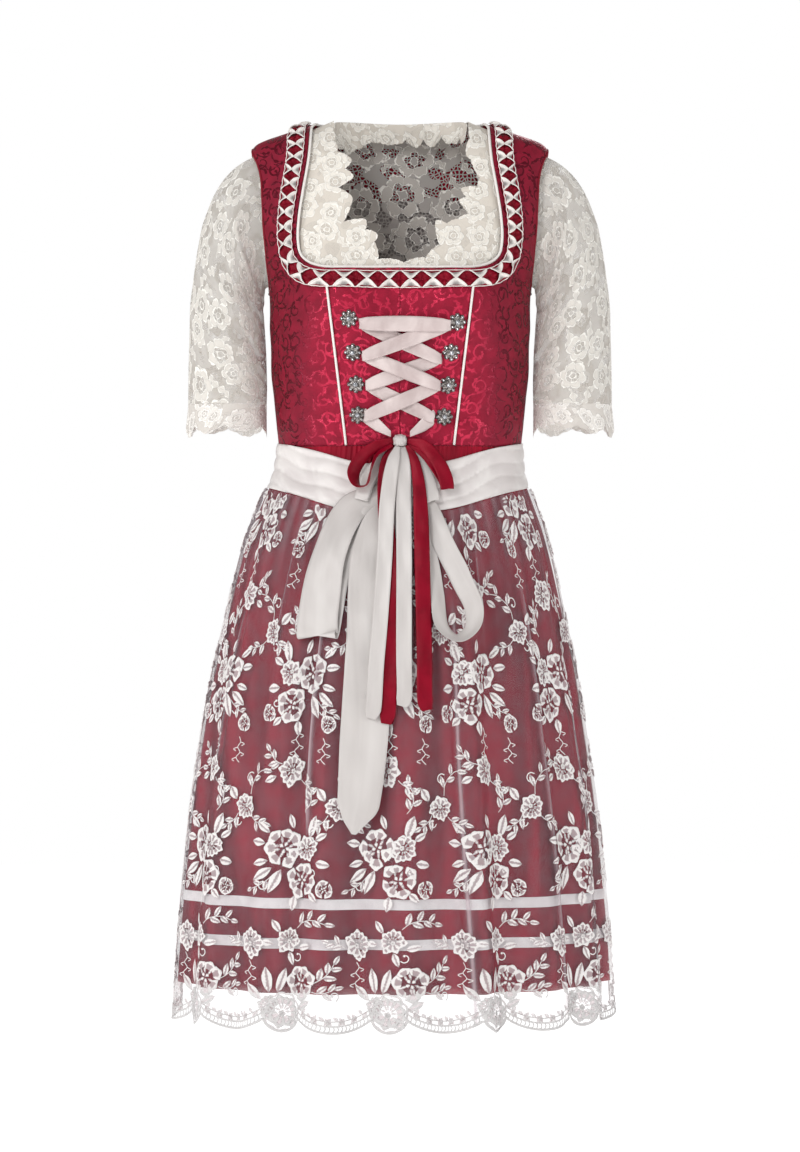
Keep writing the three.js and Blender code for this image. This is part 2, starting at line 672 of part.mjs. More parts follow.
// ---- The bow at the end of the lacing: a white and a crimson ribbon, each with two loops and two ends ----
const ringColumns = ["x", "z", "lift", "width", "tip"];
const bowLoops = {
  red_right: table(
    ringColumns,
    [-8.6, -382.8, 7, 6, 20],
    [-25, -389, 12, 14, 35],
    [-42, -407, 18, 16, 30],
    [-51, -428, 20.5, 17, 40],
    [-47, -443, 21, 15, 60],
    [-38, -443, 21, 13, 70],
    [-33, -425, 20, 13, 75],
    [-25, -402, 15, 11, 60],
    [-9, -387.5, 10.5, 4, 30],
  ),
};
const foldColumns = ["x", "z", "lift", "width", "lean"];
const foldLoops = {
  red_left: table(
    foldColumns,
    [8.6, -382.8, 7, 6, 78],
    [26, -389, 13, 14, 64],
    [42, -412, 18.5, 16, 38],
    [50, -434, 19.8, 17, 24],
    [52, -446, 18.4, 16, 22],
    [50, -438, 16.6, 15, 24],
    [38, -416, 15, 12, 38],
    [25, -400, 12.6, 8, 46],
    [9.2, -389, 9.4, 3, 56],
  ),
  white_right: table(
    foldColumns,
    [-8, -391, 5.6, 6, -50],
    [-22, -408, 8.4, 13, -40],
    [-36, -432, 12.4, 17, -30],
    [-43, -452, 12.6, 17, -15],
    [-44, -456, 11.2, 17, -15],
    [-42, -451, 10, 17, -15],
    [-34, -430, 9, 16, -30],
    [-19, -406, 5.6, 10, -40],
    [-7.5, -392, 3.6, 5, -50],
  ),
  white_left: table(
    foldColumns,
    [8.5, -391, 5.4, 5, 50],
    [21, -408, 8.6, 13, 40],
    [32, -435, 13, 17, 25],
    [36, -454, 14, 17, 20],
    [36.5, -458, 12.8, 17, 20],
    [35, -453, 11.6, 17, 20],
    [29, -432, 9.6, 16, 25],
    [17, -406, 5.8, 9, 40],
    [8, -392.5, 3.4, 5, 50],
  ),
};
for (const [name, rows] of Object.entries({ ...bowLoops, ...foldLoops }))
  add(`bow_loop_${name}`, strip(rows, 16), name.startsWith("red") ? redSatin : whiteSatin);

const bowTails = {
  white_right: table(
    foldColumns,
    [-2.6, -390.2, 10.6, 6, 0],
    [-7, -408, 17, 14, 0],
    [-11, -432, 18.5, 17, 2],
    [-15, -470, 17.8, 18, 2],
    [-17.5, -523, 17, 18, 3],
    [-22, -590, 16.8, 18, 4],
    [-27, -650, 16.8, 18, 4],
    [-30, -697, 16.8, 18, 0],
    [-33, -708, 16.8, 11, -28],
  ),
  red_right: table(
    foldColumns,
    [-8.2, -390.6, 8.4, 3.4, 0],
    [-16, -408, 13.4, 10, 0],
    [-19, -430, 15.5, 12, 0],
    [-17, -470, 14.9, 17, 0],
    [-12, -523, 14.2, 18, -1],
    [-10, -590, 14.2, 18, 0],
    [-11, -650, 14.2, 18, 2],
    [-14, -702, 14.2, 18, 2],
    [-16, -714, 14.2, 12, 30],
  ),
  white_left: table(
    foldColumns,
    [3.2, -390.4, 8.2, 6, 0],
    [4, -408, 14, 14, 0],
    [4, -432, 16.3, 17, 0],
    [4, -470, 16.4, 18, 0],
    [4.6, -523, 15.7, 18, 1],
    [4.4, -590, 15.6, 18, 0],
    [4.4, -640, 15.6, 18, 0],
    [4.6, -684, 15.6, 18, 0],
    [2, -694, 15.6, 12, -30],
  ),
  red_left: table(
    foldColumns,
    [7.6, -389.4, 11, 3.6, 10],
    [15, -406, 16, 10, 10],
    [20, -432, 18.5, 14, 6],
    [23, -470, 18.4, 17, 0],
    [24.5, -523, 18, 18, 0],
    [26, -590, 18, 18, 0],
    [27, -640, 18, 18, 0],
    [27.6, -688, 18, 18, 0],
    [30, -699, 18, 12, 32],
  ),
};
for (const [name, rows] of Object.entries(bowTails))
  add(`bow_tail_${name}`, strip(rows, 14), name.startsWith("red") ? redSatin : whiteSatin);

// ---- The sash: a band round the waist, tied in front in a bow with two loops and two ends ----
const dipAt = (degrees) => 1 / (1 + (THREE.MathUtils.euclideanModulo(degrees + 180, 360) / 50 - 3.6) ** 4);
const sashTop = (degrees) => -380 - 31 * dipAt(degrees);
const sashBottom = (degrees) => -434 - 34 * dipAt(degrees);

// Directions round the skirt: every crest and valley, and the ones halfway between.
const directions = foldMarks.flatMap(([at], k) => {
  const next = k + 1 < foldMarks.length ? foldMarks[k + 1][0] : foldMarks[0][0] + 360;
  return [at, (at + next) / 2];
});
const between = (from, to) =>
  [...directions.map((a) => a - 360), ...directions].filter((a) => a >= from && a <= to);

const sashRows = [1, 0.5, 0];
const sashGrid = (lift) =>
  sashRows.map((t) =>
    directions.map((a) => onSkirt(a, lerp(sashBottom(a), sashTop(a), t), lift + 0.8 * (1 - t), 0)),
  );
add("sash_band", wall(sashGrid(2 + sashWall), sashGrid(2), true), whiteSatin);

const sashLoopRight = table(
  foldColumns,
  [-14.9, -440, 7, 14, -80],
  [-30, -451, 6.8, 26, -58],
  [-55, -466, 8, 38, -38],
  [-78, -515, 13, 40, -16],
  [-88, -566, 15, 47, -6],
  [-92, -606, 15.6, 50, 0],
  [-92, -613, 13.4, 51, 0],
  [-90, -605, 11, 50, 0],
  [-82, -560, 8.4, 46, -6],
  [-68, -512, 7, 40, -16],
  [-46, -468, 5.6, 28, -38],
  [-28, -453, 4.9, 18, -58],
  [-15.4, -446, 5, 8, -86],
);
const sashLoopLeft = table(
  ringColumns,
  [20.4, -441, 7, 12, 0],
  [33, -466, 8.6, 22, -8],
  [48, -507, 15, 26, -30],
  [67, -550, 18.5, 27, -44],
  [80, -584, 20.5, 27, -52],
  [78, -607, 21, 26, -62],
  [63, -617, 20, 25, -62],
  [47, -602, 16, 24, -46],
  [42, -566, 11, 20, -20],
  [32, -520, 8.6, 21, -3],
  [24, -486, 7, 18, 0],
  [20, -464, 5, 12, 0],
);
const sashEnd = table(
  foldColumns,
  [-4, -457, 9, 16, 0],
  [-22, -480, 10.2, 38, -4],
  [-32, -523, 11, 49, -4],
  [-36, -627, 11.2, 52, 0],
  [-40, -719, 11.6, 56, 0],
  [-47, -806, 12, 49, 0],
  [-50, -822, 12, 33, -8],
  [-52, -840, 12, 5, -12],
);
const sashEndBehind = table(
  foldColumns,
  [-2, -457.5, 6, 14, 0],
  [-12, -480, 7.4, 26, -4],
  [-30, -523, 8.2, 40, -4],
  [-36, -600, 9, 44, 0],
  [-38, -668, 9.4, 44, 0],
  [-38, -690, 9.4, 30, 10],
);
add("sash_loop_right", strip(sashLoopRight, 20, sashWall), whiteSatin);
add("sash_loop_left", strip(sashLoopLeft, 20, sashWall), whiteSatin);
add("sash_end", strip(sashEnd, 14, sashWall), whiteSatin);
add("sash_end_behind", strip(sashEndBehind, 8, sashWall), whiteSatin);

// ---- Skirt: a front and a back cloth gathered to the waist, and two satin bands sewn round it ----
const skirtHeights = [waistZ - seamGap / 2, -430, -475, -530, -600, -690, -780, -870, -943, skirtHemZ];
const sideGap = 0.06; // half the side seam's gap, in degrees
const clothDirections = (from, to) =>
  between(from, to).map((a) => THREE.MathUtils.clamp(a, from + sideGap, to - sideGap));
const cloth = (angles, heights, lift) => heights.map((z) => angles.map((a) => onSkirt(a, z, lift)));
const hang = (angles, heights, outer, thick) =>
  wall(cloth(angles, heights, outer), cloth(angles, heights, outer - thick));
add("skirt_front", hang(clothDirections(-90, 90), skirtHeights, 0, skirtWall), redSatin);
add("skirt_back", hang(clothDirections(-270, -90), skirtHeights, 0, skirtWall), redSatin);

const bands = table(["name", "z"], ["band_upper", -920], ["band_lower", -966]);
const bandTall = 12;
for (const { name, z } of bands) {
  const heights = [z + bandTall / 2, z - bandTall / 2];
  const grid = (lift) => cloth(directions, heights, lift);
  add(name, wall(grid(1.5), grid(0.6), true), whiteSatin);
}

// ---- Apron: sheer cloth from the sash to below the hem, its lower edge cut in wide and narrow scallops ----
const apronSpan = { from: -97, to: 86.5 };
const apronAngles = between(apronSpan.from, apronSpan.to);
const apronHeights = [-475, -530, -600, -690, -780, -870, -943, skirtHemZ];
const scallops = { repeat: 134, wide: 92, first: 36 };

// How far the lower edge hangs at a distance along it: a wide bow, then a narrow one.
function scallopAt(mile) {
  const m = THREE.MathUtils.euclideanModulo(mile - scallops.first, scallops.repeat);
  const wide = m < scallops.wide;
  const share = wide ? m / scallops.wide : (m - scallops.wide) / (scallops.repeat - scallops.wide);
  return Math.sin(Math.PI * share) ** (wide ? 0.7 : 0.5);
}

function apronGrid(lift) {
  const top = apronAngles.map((a) => onSkirt(a, sashBottom(a) - 1.2, lift));
  const rows = apronHeights.map((z) => apronAngles.map((a) => onSkirt(a, z, lift)));
  let mile = 0;
  const edge = apronAngles.map((a, i) => {
    if (i) mile += skirtSkin(a, apronHemZ).distanceTo(skirtSkin(apronAngles[i - 1], apronHemZ));
    return onSkirt(a, apronHemZ - scallopDrop * scallopAt(mile), lift);
  });
  return [top, ...rows, edge];
}
add("apron", wall(apronGrid(2.6 + apronWall), apronGrid(2.6)), sheer);

// ---- Blouse: a lace front and back under the bodice, sleeves to the elbow, and scalloped lace borders ----
// The front's leaf-shaped neck edge, from one ridge across the middle to the other.
const leafEdge = table(
  ["x", "z"],
  [-82, 8],
  [-81, -8],
  [-79, -22],
  [-75.3, -35.9],
  [-57.7, -46.5],
  [-67, -58],
  [-55.3, -67.7],
  [-76.5, -80.6],
  [-56.5, -93.5],
  [-68.3, -124],
  [-41.2, -120],
  [-42, -133],
  [-27, -138.3],
  [-31, -147],
  [-25.9, -168.9],
  [1.2, -171],
  [3.5, -177],
  [8.8, -171],
  [30.6, -167],
  [47, -151],
  [42.4, -121.8],
  [56, -126],
  [69.4, -119.5],
  [84.7, -113.6],
  [70.6, -97],
  [81.8, -93.6],
  [73, -82],
  [94.2, -80.6],
  [96, -68.8],
  [84.7, -45.3],
  [79, -38],
  [84, -18],
  [83, 8],
);
const blouseHemZ = -262;
const holeSteps = 10; // of half a sleeve head
const sideSteps = 2;
const hemSteps = 4;
const sleeveTurns = span(2 * holeSteps).slice(0, -1);

// The blouse's front: rows of points from its neck edge out to the sleeve heads, side seams and hem.
const blouseHole = (turn) => armholePoint(turn, sleeveHead);
const blouseSeam = (t) => onSide(0, lerp(blouseHemZ, blouseHole(0.5).z, t));
const frontEdge = [
  ...span(holeSteps).map((t) => blouseHole(t / 2)),
  ...span(sideSteps).slice(1).map((t) => blouseSeam(1 - t)),
  ...span(hemSteps).slice(1).map((t) => {
    return onFront(read(bodySections, "half", blouseHemZ) * Math.cos((Math.PI / 2) * t), blouseHemZ);
  }),
].map((p) => vec(p.x, Math.min(p.y, -seamGap / 2), p.z));
const outerEdge = [...frontEdge.map((p) => mirror(p, -1)), ...frontEdge.slice(0, -1).reverse()];
const leafPoints = leafEdge.map(({ x, z }) => {
  const p = onFront(x, z);
  return vec(p.x, Math.min(p.y, -seamGap / 2), p.z);
});
const blouseRise = (v) => lerp(blouseLift.neck, blouseLift.edge, Math.min(1, 2 * v));
const frontLayer = (deeper) =>
  span(4).map((v) => leafPoints.map((p, i) => settle(p.clone().lerp(outerEdge[i], v), blouseRise(v) - deeper)));
add("blouse_front", wall(frontLayer(0), frontLayer(blouseWall)), lace);

// The blouse's back.
const blouseNeck = (t) => {
  const angle = (Math.PI / 2) * t;
  return settle(vec(83 * Math.cos(angle), 62 * Math.sin(angle), 8 - 4 * Math.sin(angle) ** 2));
};
const blouseRidge = (t) => onSide(0, lerp(8, blouseHole(1).z, t));
const blouseTop = joined(4 / 7, (t) => blouseNeck(1 - t), blouseRidge);
const blouseSide = joined(sideSteps / (sideSteps + holeSteps), blouseSeam, (t) => blouseHole(0.5 + 0.5 * t));
const blouseBack = patch(
  {
    bottom: (s) => settle(skirtSkin(lerp(-90, -270, s), blouseHemZ, 0)),
    top: (s) => (s < 0.5 ? mirror(blouseTop(1 - 2 * s), -1) : blouseTop(2 * s - 1)),
    start: (t) => mirror(blouseSide(t), -1),
    end: blouseSide,
  },
  14,
  sideSteps + holeSteps,
);
const backLayer = (deeper) =>
  blouseBack.map((row, k) => {
    const lift = blouseRise(1 - k / (blouseBack.length - 1)) - deeper;
    return row.map((p) => p.clone().addScaledVector(formNormal(p), lift));
  });
add("blouse_back", wall(backLayer(0), backLayer(blouseWall)), lace);

// A ruffle of leaves that falls inside the back of the neck.
const ruffle = { inside: 9.4, top: 6, fall: 17, leaf: 11, leaves: 8 };
const rufflePoints = span(24).map((u) => {
  const p = blouseNeck(1 - Math.abs(2 * u - 1) * 0.97);
  return mirror(p, Math.sign(u - 0.5) || 1);
});
function ruffleGrid(inside) {
  const hung = (share, closer) =>
    rufflePoints.map((p, i) => {
      const leaf = Math.abs(Math.sin((Math.PI * ruffle.leaves * i) / 24)) ** 0.8;
      const drop = share ? share * (ruffle.fall + ruffle.leaf * leaf) : -ruffle.top;
      const q = p.clone().addScaledVector(formNormal(p), -inside);
      const inward = 1 - closer / Math.hypot(q.x, q.y);
      return vec(q.x * inward, q.y * inward, q.z - drop);
    });
  return [hung(0, 0), hung(0.5, 0.6), hung(1, 3)];
}
add("neck_ruffle", wall(ruffleGrid(ruffle.inside), ruffleGrid(ruffle.inside + blouseWall)), lace);

// Sleeves: from the sleeve head out over the shoulder and down to the cuff.
const sleeveRuns = table(
  ["turn", "out", "down", "rise", "inward"],
  [0, 60, 22, 205, 0],
  [0.25, 45, 0, 150, 0],
  [0.5, 26, -6, 88, -4],
  [0.75, 45, 0, 150, 0],
  [1, 60, 22, 205, 0],
);
const sleeveRun = (column, turn) => {
  const k = Math.min(3, Math.floor(turn * 4));
  const share = turn * 4 - k;
  return lerp(sleeveRuns[k][column], sleeveRuns[k + 1][column], 0.5 - 0.5 * Math.cos(Math.PI * share));
};
const smallerHead = { tall: sleeveHead.tall - 2.2, front: sleeveHead.front - 2.2, back: sleeveHead.back - 2.2 };

// Turn 0 is the outer side of the cuff and the top of the sleeve head.
function sleeveSkin(turn, t) {
  const head = armholePoint(turn, smallerHead);
  const from = head.addScaledVector(formNormal(head), blouseLift.edge - blouseWall / 2);
  const angle = 2 * Math.PI * turn;
  const to = vec(cuff.x + cuff.half * Math.cos(angle), -cuff.depth * Math.sin(angle), cuff.z);
  const swell = -14 * Math.sin(angle);
  const first = vec(
    from.x + sleeveRun("out", turn),
    from.y + swell,
    from.z - sleeveRun("down", turn),
  );
  const last = vec(to.x + sleeveRun("inward", turn), to.y + 0.2 * swell, to.z + sleeveRun("rise", turn));
  return new THREE.CubicBezierCurve3(from, first, last, to).getPoint(t);
}
function sleevePoint(turn, t, lift) {
  const wrap = (v) => THREE.MathUtils.euclideanModulo(v, 1);
  const round = sleeveSkin(wrap(turn + 0.01), t).sub(sleeveSkin(wrap(turn - 0.01), t));
  const down = sleeveSkin(turn, Math.min(1, t + 0.02)).sub(sleeveSkin(turn, Math.max(0, t - 0.02)));
  return sleeveSkin(turn, t).addScaledVector(round.cross(down).normalize(), lift);
}
const sleeveRows = [0, 0.08, 0.2, 0.34, 0.48, 0.62, 0.75, 0.88, 1];
const sleeveGrid = (side, lift) =>
  sleeveRows.map((t) => sleeveTurns.map((turn) => mirror(sleevePoint(turn, t, lift), side)));

// Cuff borders: a ring of lace with pointed leaves along its lower edge.
function cuffGrid(side, lift) {
  const turns = span(cuffLace.points * 4).slice(0, -1);
  return [0, 1].map((low) =>
    turns.map((turn, i) => {
      const p = sleevePoint(turn, 1, lift);
      const leaf = [0.1, 0.7, 1, 0.6][i % 4];
      p.z = cuff.z - seamGap - low * (cuffLace.deep + cuffLace.drop * leaf);
      p.x += low * 1.5 * Math.cos(2 * Math.PI * turn);
      return mirror(p, side);
    }),
  );
}
for (const [side, name] of sides) {
  add(`sleeve_${name}`, wall(sleeveGrid(side, sleeveWall / 2), sleeveGrid(side, -sleeveWall / 2), true), lace);
  add(`cuff_lace_${name}`, wall(cuffGrid(side, sleeveWall / 2), cuffGrid(side, -sleeveWall / 2), true), lace);
}

export default dirndl;
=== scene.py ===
import math

import bmesh
import bpy
import numpy as np
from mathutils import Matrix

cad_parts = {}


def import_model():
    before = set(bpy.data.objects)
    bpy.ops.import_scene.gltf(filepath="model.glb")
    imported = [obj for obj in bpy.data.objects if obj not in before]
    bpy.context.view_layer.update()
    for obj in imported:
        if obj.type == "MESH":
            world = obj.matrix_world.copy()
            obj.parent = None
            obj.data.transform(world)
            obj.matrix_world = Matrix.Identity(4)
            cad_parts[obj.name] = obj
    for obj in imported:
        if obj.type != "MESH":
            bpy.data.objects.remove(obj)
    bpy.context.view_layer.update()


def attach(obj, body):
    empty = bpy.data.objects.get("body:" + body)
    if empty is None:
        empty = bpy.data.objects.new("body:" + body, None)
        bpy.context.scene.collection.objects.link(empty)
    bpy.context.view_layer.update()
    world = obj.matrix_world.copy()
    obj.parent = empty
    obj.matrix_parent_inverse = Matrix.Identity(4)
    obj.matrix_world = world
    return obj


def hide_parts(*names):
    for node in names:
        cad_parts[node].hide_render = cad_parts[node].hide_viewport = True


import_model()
print("frame loaded")

# All sizes below are millimetres; meshes are written in metres.
form = {"seamGap": 0.3, "waist": -389.0, "underarm": -205.0, "neckFloor": -181.0, "hem": -1023.0,
        "apronHem": -1052.0, "squareness": 2.3, "foldTop": -420.0}


def table(columns, *rows):
    return dict(zip(columns.split(), np.array(rows, float).T))


# half width, depth to the front and depth to the back, from the neck down
bodySections = table("z half front back",
                     (16, 66, 30, 60), (0, 102, 38, 69), (-12, 137, 44, 74), (-27, 174, 52, 80),
                     (-38, 180, 58, 84), (-80, 180, 75, 91), (-117, 176, 88, 94), (-160, 166, 101, 94),
                     (-205, 156.5, 111, 91), (-250, 155.5, 112, 87), (-300, 154, 106, 84),
                     (-350, 149, 100, 85), (-389, 145, 97, 88))
bust = {"rise": 13, "x": 82, "z": -224, "wide": 42, "tall": 46}
skirtSections = table("z half front back shift",
                      (-370, 147.2, 98.5, 86.5, 0), (-389, 145, 97, 88, 0), (-415, 147, 101, 97, -1),
                      (-451, 160, 112, 116, -3), (-487, 173, 124, 133, -4), (-523, 183, 134, 147, -5),
                      (-595, 199, 150, 166, -6), (-667, 214, 162, 180, -7), (-739, 225, 171, 192, -8),
                      (-811, 235, 179, 201, -8), (-883, 242, 185, 208, -8), (-955, 248, 190, 214, -8),
                      (-1023, 252, 194, 218, -8), (-1080, 255, 197, 221, -8))
# each crest of the skirt's soft folds and the valley after it, by angle from the front towards +X
skirtFolds = table("crest rise valley dip",
                   (-79, 8, -70, 5), (-61, 8, -52, 5), (-42, 7, -33, 5), (-22, 9, -10, 6), (5, 7, 18, 5),
                   (28, 12, 36, 10), (50, 7, 59, 5), (67, 9, 75, 5), (83, 8, 90, 5), (99, 9, 107, 6),
                   (116, 8, 124, 6), (133, 10, 141, 6), (149, 8, 157, 7), (165, 10, 173, 6),
                   (181, 8, 189, 7), (197, 10, 205, 6), (213, 8, 221, 7), (229, 10, 237, 6),
                   (246, 8, 255, 6), (263, 9, 270, 5))


def vec(x, y, z):
    return np.stack(np.broadcast_arrays(x, y, z), axis=-1).astype(float)


def unit(v):
    return v / np.maximum(np.linalg.norm(v, axis=-1, keepdims=True), 1e-9)


def dot(a, b):
    return (a * b).sum(axis=-1, keepdims=True)


def lerp(a, b, t):
    return a + (b - a) * t


def ramp(value, low, high):  # an S-shaped step from 0 to 1
    t = np.clip((value - low) / (high - low), 0, 1)
    return t * t * (3 - 2 * t)


def read(rows, column, z):  # a column at a height, on a curve that never overshoots its rows
    zs, values = rows["z"][::-1], rows[column][::-1]
    z = np.clip(np.asarray(z, float), zs[0], zs[-1])
    width = np.diff(zs)
    rise = np.diff(values) / width
    product = rise[1:] * rise[:-1]
    inner = np.where(product > 0, 2 * product / np.where(product > 0, rise[1:] + rise[:-1], 1), 0)
    slope = np.concatenate([rise[:1], inner, rise[-1:]])
    i = np.clip(np.searchsorted(zs, z) - 1, 0, len(zs) - 2)
    t = (z - zs[i]) / width[i]
    return ((2 * t**3 - 3 * t**2 + 1) * values[i] + (t**3 - 2 * t**2 + t) * width[i] * slope[i]
            + (3 * t**2 - 2 * t**3) * values[i + 1] + (t**3 - t**2) * width[i] * slope[i + 1])


def bustRise(x, y, z):
    across, up = (np.abs(x) - bust["x"]) / bust["wide"], (z - bust["z"]) / bust["tall"]
    return bust["rise"] * np.exp(-across**2 - up**2) * ramp(-y, 0, 50)


def formValue(p):
    x, y, z = p[..., 0], p[..., 1], p[..., 2]
    depth = np.where(y < 0, read(bodySections, "front", z), read(bodySections, "back", z))
    lifted = y + bustRise(x, y, z)
    along = np.abs(np.where(y < 0, np.minimum(lifted, 0), lifted)) / depth
    across = np.abs(x) / read(bodySections, "half", z)
    return across ** form["squareness"] + along ** form["squareness"] - 1


def formSlope(p):
    h = 0.05 * np.eye(3)
    return np.stack([formValue(p + h[k]) - formValue(p - h[k]) for k in range(3)], axis=-1) / 0.1


def formNormal(p):
    return unit(formSlope(p))


def settle(p, lift=0.0, turns=6):  # the nearest place on the bodice's form, moved out by a lift
    for _ in range(turns):
        slope = formSlope(p)
        p = p - slope * (formValue(p)[..., None] / dot(slope, slope))
    return p + formNormal(p) * np.asarray(lift, float)[..., None] if np.any(lift) else p


def roundOff(share):
    return (1 - np.minimum(1, np.abs(share)) ** form["squareness"]) ** (1 / form["squareness"])


def onFront(x, z):
    flat = read(bodySections, "front", z) * roundOff(x / read(bodySections, "half", z))
    y = -flat
    for _ in range(6):
        y = -flat - bustRise(x, y, z)
    return vec(x, y, z)


def onBack(x, z):
    return vec(x, read(bodySections, "back", z) * roundOff(x / read(bodySections, "half", z)), z)


def onSide(y, z):
    depth = np.where(np.asarray(y) < 0, read(bodySections, "front", z), read(bodySections, "back", z))
    return vec(read(bodySections, "half", z) * roundOff(y / depth), y, z)


foldAt = np.append(np.stack([skirtFolds["crest"], skirtFolds["valley"]], 1).ravel(), skirtFolds["crest"][0] + 360)
foldOut = np.append(np.stack([skirtFolds["rise"], -skirtFolds["dip"]], 1).ravel(), skirtFolds["rise"][0])


def foldRise(degrees, z):
    grow = np.clip((form["foldTop"] - z) / (form["foldTop"] - form["hem"]), 0, 1) ** 0.75
    turn = np.mod(degrees - foldAt[0], 360) + foldAt[0]
    k = np.clip(np.searchsorted(foldAt, turn, side="right") - 1, 0, len(foldAt) - 2)
    share = (turn - foldAt[k]) / (foldAt[k + 1] - foldAt[k])
    return grow * lerp(foldOut[k], foldOut[k + 1], 0.5 - 0.5 * np.cos(math.pi * share))


def skirtSkin(degrees, z, folded=1.0):
    across, ahead = np.sin(np.radians(degrees)), -np.cos(np.radians(degrees))
    depth = np.where(ahead < 0, read(skirtSections, "front", z), read(skirtSections, "back", z))
    q = form["squareness"]
    radius = ((np.abs(across) / read(skirtSections, "half", z)) ** q + (np.abs(ahead) / depth) ** q) ** (-1 / q)
    r = radius + folded * foldRise(degrees, z)
    return vec(read(skirtSections, "shift", z) + r * across, r * ahead, z)


def onSkirt(degrees, z, lift=0.0, folded=1.0):
    degrees, z = np.broadcast_arrays(np.asarray(degrees, float), np.asarray(z, float))
    east = skirtSkin(degrees + 0.4, z, folded) - skirtSkin(degrees - 0.4, z, folded)
    north = skirtSkin(degrees, z + 1, folded) - skirtSkin(degrees, z - 1, folded)
    out = unit(np.cross(east, north))
    return skirtSkin(degrees, z, folded) + out * np.broadcast_to(lift, z.shape)[..., None]


def before(x, z, lift=0.0):  # in front of the bodice or the unfolded skirt, seen from the front
    x, z, lift = np.broadcast_arrays(np.asarray(x, float), np.asarray(z, float), np.asarray(lift, float))

    def flat(u, w):
        across = (u - read(skirtSections, "shift", w)) / read(skirtSections, "half", w)
        return vec(u, -read(skirtSections, "front", w) * roundOff(across), w)
    out = unit(np.cross(flat(x + 1, z) - flat(x - 1, z), flat(x, z + 1) - flat(x, z - 1)))
    low = flat(x, z) + out * lift[..., None]
    top = onFront(x, z)
    return np.where((z > form["waist"])[..., None], top + formNormal(top) * lift[..., None], low)


def spline(points, t):  # a centripetal curve through points, read by their number
    points = np.array(points, float)
    step = np.sqrt(np.linalg.norm(np.diff(points, axis=0), axis=1))[:, None] + 1e-9
    rise = np.diff(points, axis=0) / step
    inner = rise[:-1] + rise[1:] - (points[2:] - points[:-2]) / (step[:-1] + step[1:])
    slope = np.concatenate([rise[:1], inner, rise[-1:]])
    k = np.clip(np.floor(t).astype(int), 0, len(points) - 2)
    s = (t - k)[:, None]
    return ((2 * s**3 - 3 * s**2 + 1) * points[k] + (s**3 - 2 * s**2 + s) * step[k] * slope[k]
            + (3 * s**2 - 2 * s**3) * points[k + 1] + (s**3 - s**2) * step[k] * slope[k + 1])


def milesOf(line):  # how far along a line each of its points is
    return np.concatenate([[0], np.cumsum(np.linalg.norm(np.diff(line, axis=0), axis=1))])


def walk(dense):  # reads a dense line by share of its length
    miles = milesOf(dense)

    def at(share):
        m = np.clip(np.asarray(share, float), 0, 1) * miles[-1]
        return np.stack([np.interp(m, miles, dense[:, axis]) for axis in range(3)], axis=-1)
    return at


def curveThrough(points):
    return walk(spline(points, np.linspace(0, len(points) - 1, 40 * (len(points) - 1) + 1)))


def joined(share, first, second):
    def at(t):
        t = np.asarray(t, float)
        early, late = first(np.clip(t / share, 0, 1)), second(np.clip((t - share) / (1 - share), 0, 1))
        return np.where((t <= share)[..., None], early, late)
    return at


def mirror(p, side=-1):
    return p * np.array([side, 1, 1])


def flatOf(points):  # lays a grid of points out flat: its UV map, in millimetres
    across = np.pad(np.linalg.norm(np.diff(points, axis=1), axis=-1), ((0, 0), (1, 0)))
    down = np.pad(np.linalg.norm(np.diff(points, axis=0), axis=-1), ((1, 0), (0, 0)))
    u = np.cumsum(across, axis=1)
    u = u - u[:, [-1]] / 2
    v = -np.cumsum(down, axis=0).mean(axis=1, keepdims=True)
    return np.stack([u, v + 0 * u], axis=-1)


def addGrid(work, points, flat=None, look=0, ring=False, parts=1):  # parts: pieces side by side, parted again
    rows, columns = points.shape[0] - 1, points.shape[1] - 1
    verts = bmesh.ops.create_grid(work, x_segments=columns, y_segments=rows, size=0.5)["verts"]
    layer = work.loops.layers.uv.get("UVMap") or work.loops.layers.uv.new("UVMap")
    flat = flatOf(points) if flat is None else flat
    spots = {}
    for vert in verts:
        spots[vert] = (round((vert.co.y + 0.5) * rows), round((vert.co.x + 0.5) * columns))
    for face in {face for vert in verts for face in vert.link_faces}:
        face.material_index = look
        face.smooth = True
        for loop in face.loops:
            loop[layer].uv = flat[spots[loop.vert]] * 0.001
    for vert, spot in spots.items():
        vert.co = points[spot] * 0.001
    if parts > 1:
        each = (columns + 1) // parts
        edges = {edge for vert in verts for edge in vert.link_edges}
        part = {vert: spot[1] // each for vert, spot in spots.items()}
        joins = [edge for edge in edges if part[edge.verts[0]] != part[edge.verts[1]]]
        bmesh.ops.delete(work, geom=joins, context="EDGES")
    if ring:
        seam = [vert for vert, spot in spots.items() if spot[1] in (0, columns)]
        bmesh.ops.remove_doubles(work, verts=seam, dist=2e-6)
    return verts


def makePiece(name, work, looks, replaces=(), wall=None):
    mesh = bpy.data.meshes.new(name)
    work.to_mesh(mesh)
    work.free()
    piece = bpy.data.objects.new(name, mesh)
    bpy.context.scene.collection.objects.link(piece)
    for look in looks:
        mesh.materials.append(look)
    if wall:
        solid = piece.modifiers.new("wall", "SOLIDIFY")
        solid.thickness = wall["thick"] * 0.001
        solid.offset = wall.get("offset", -1)
        solid.use_quality_normals = True
        solid.material_offset = wall.get("inner", 0)
    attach(piece, "root")
    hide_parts(*replaces)
    return piece


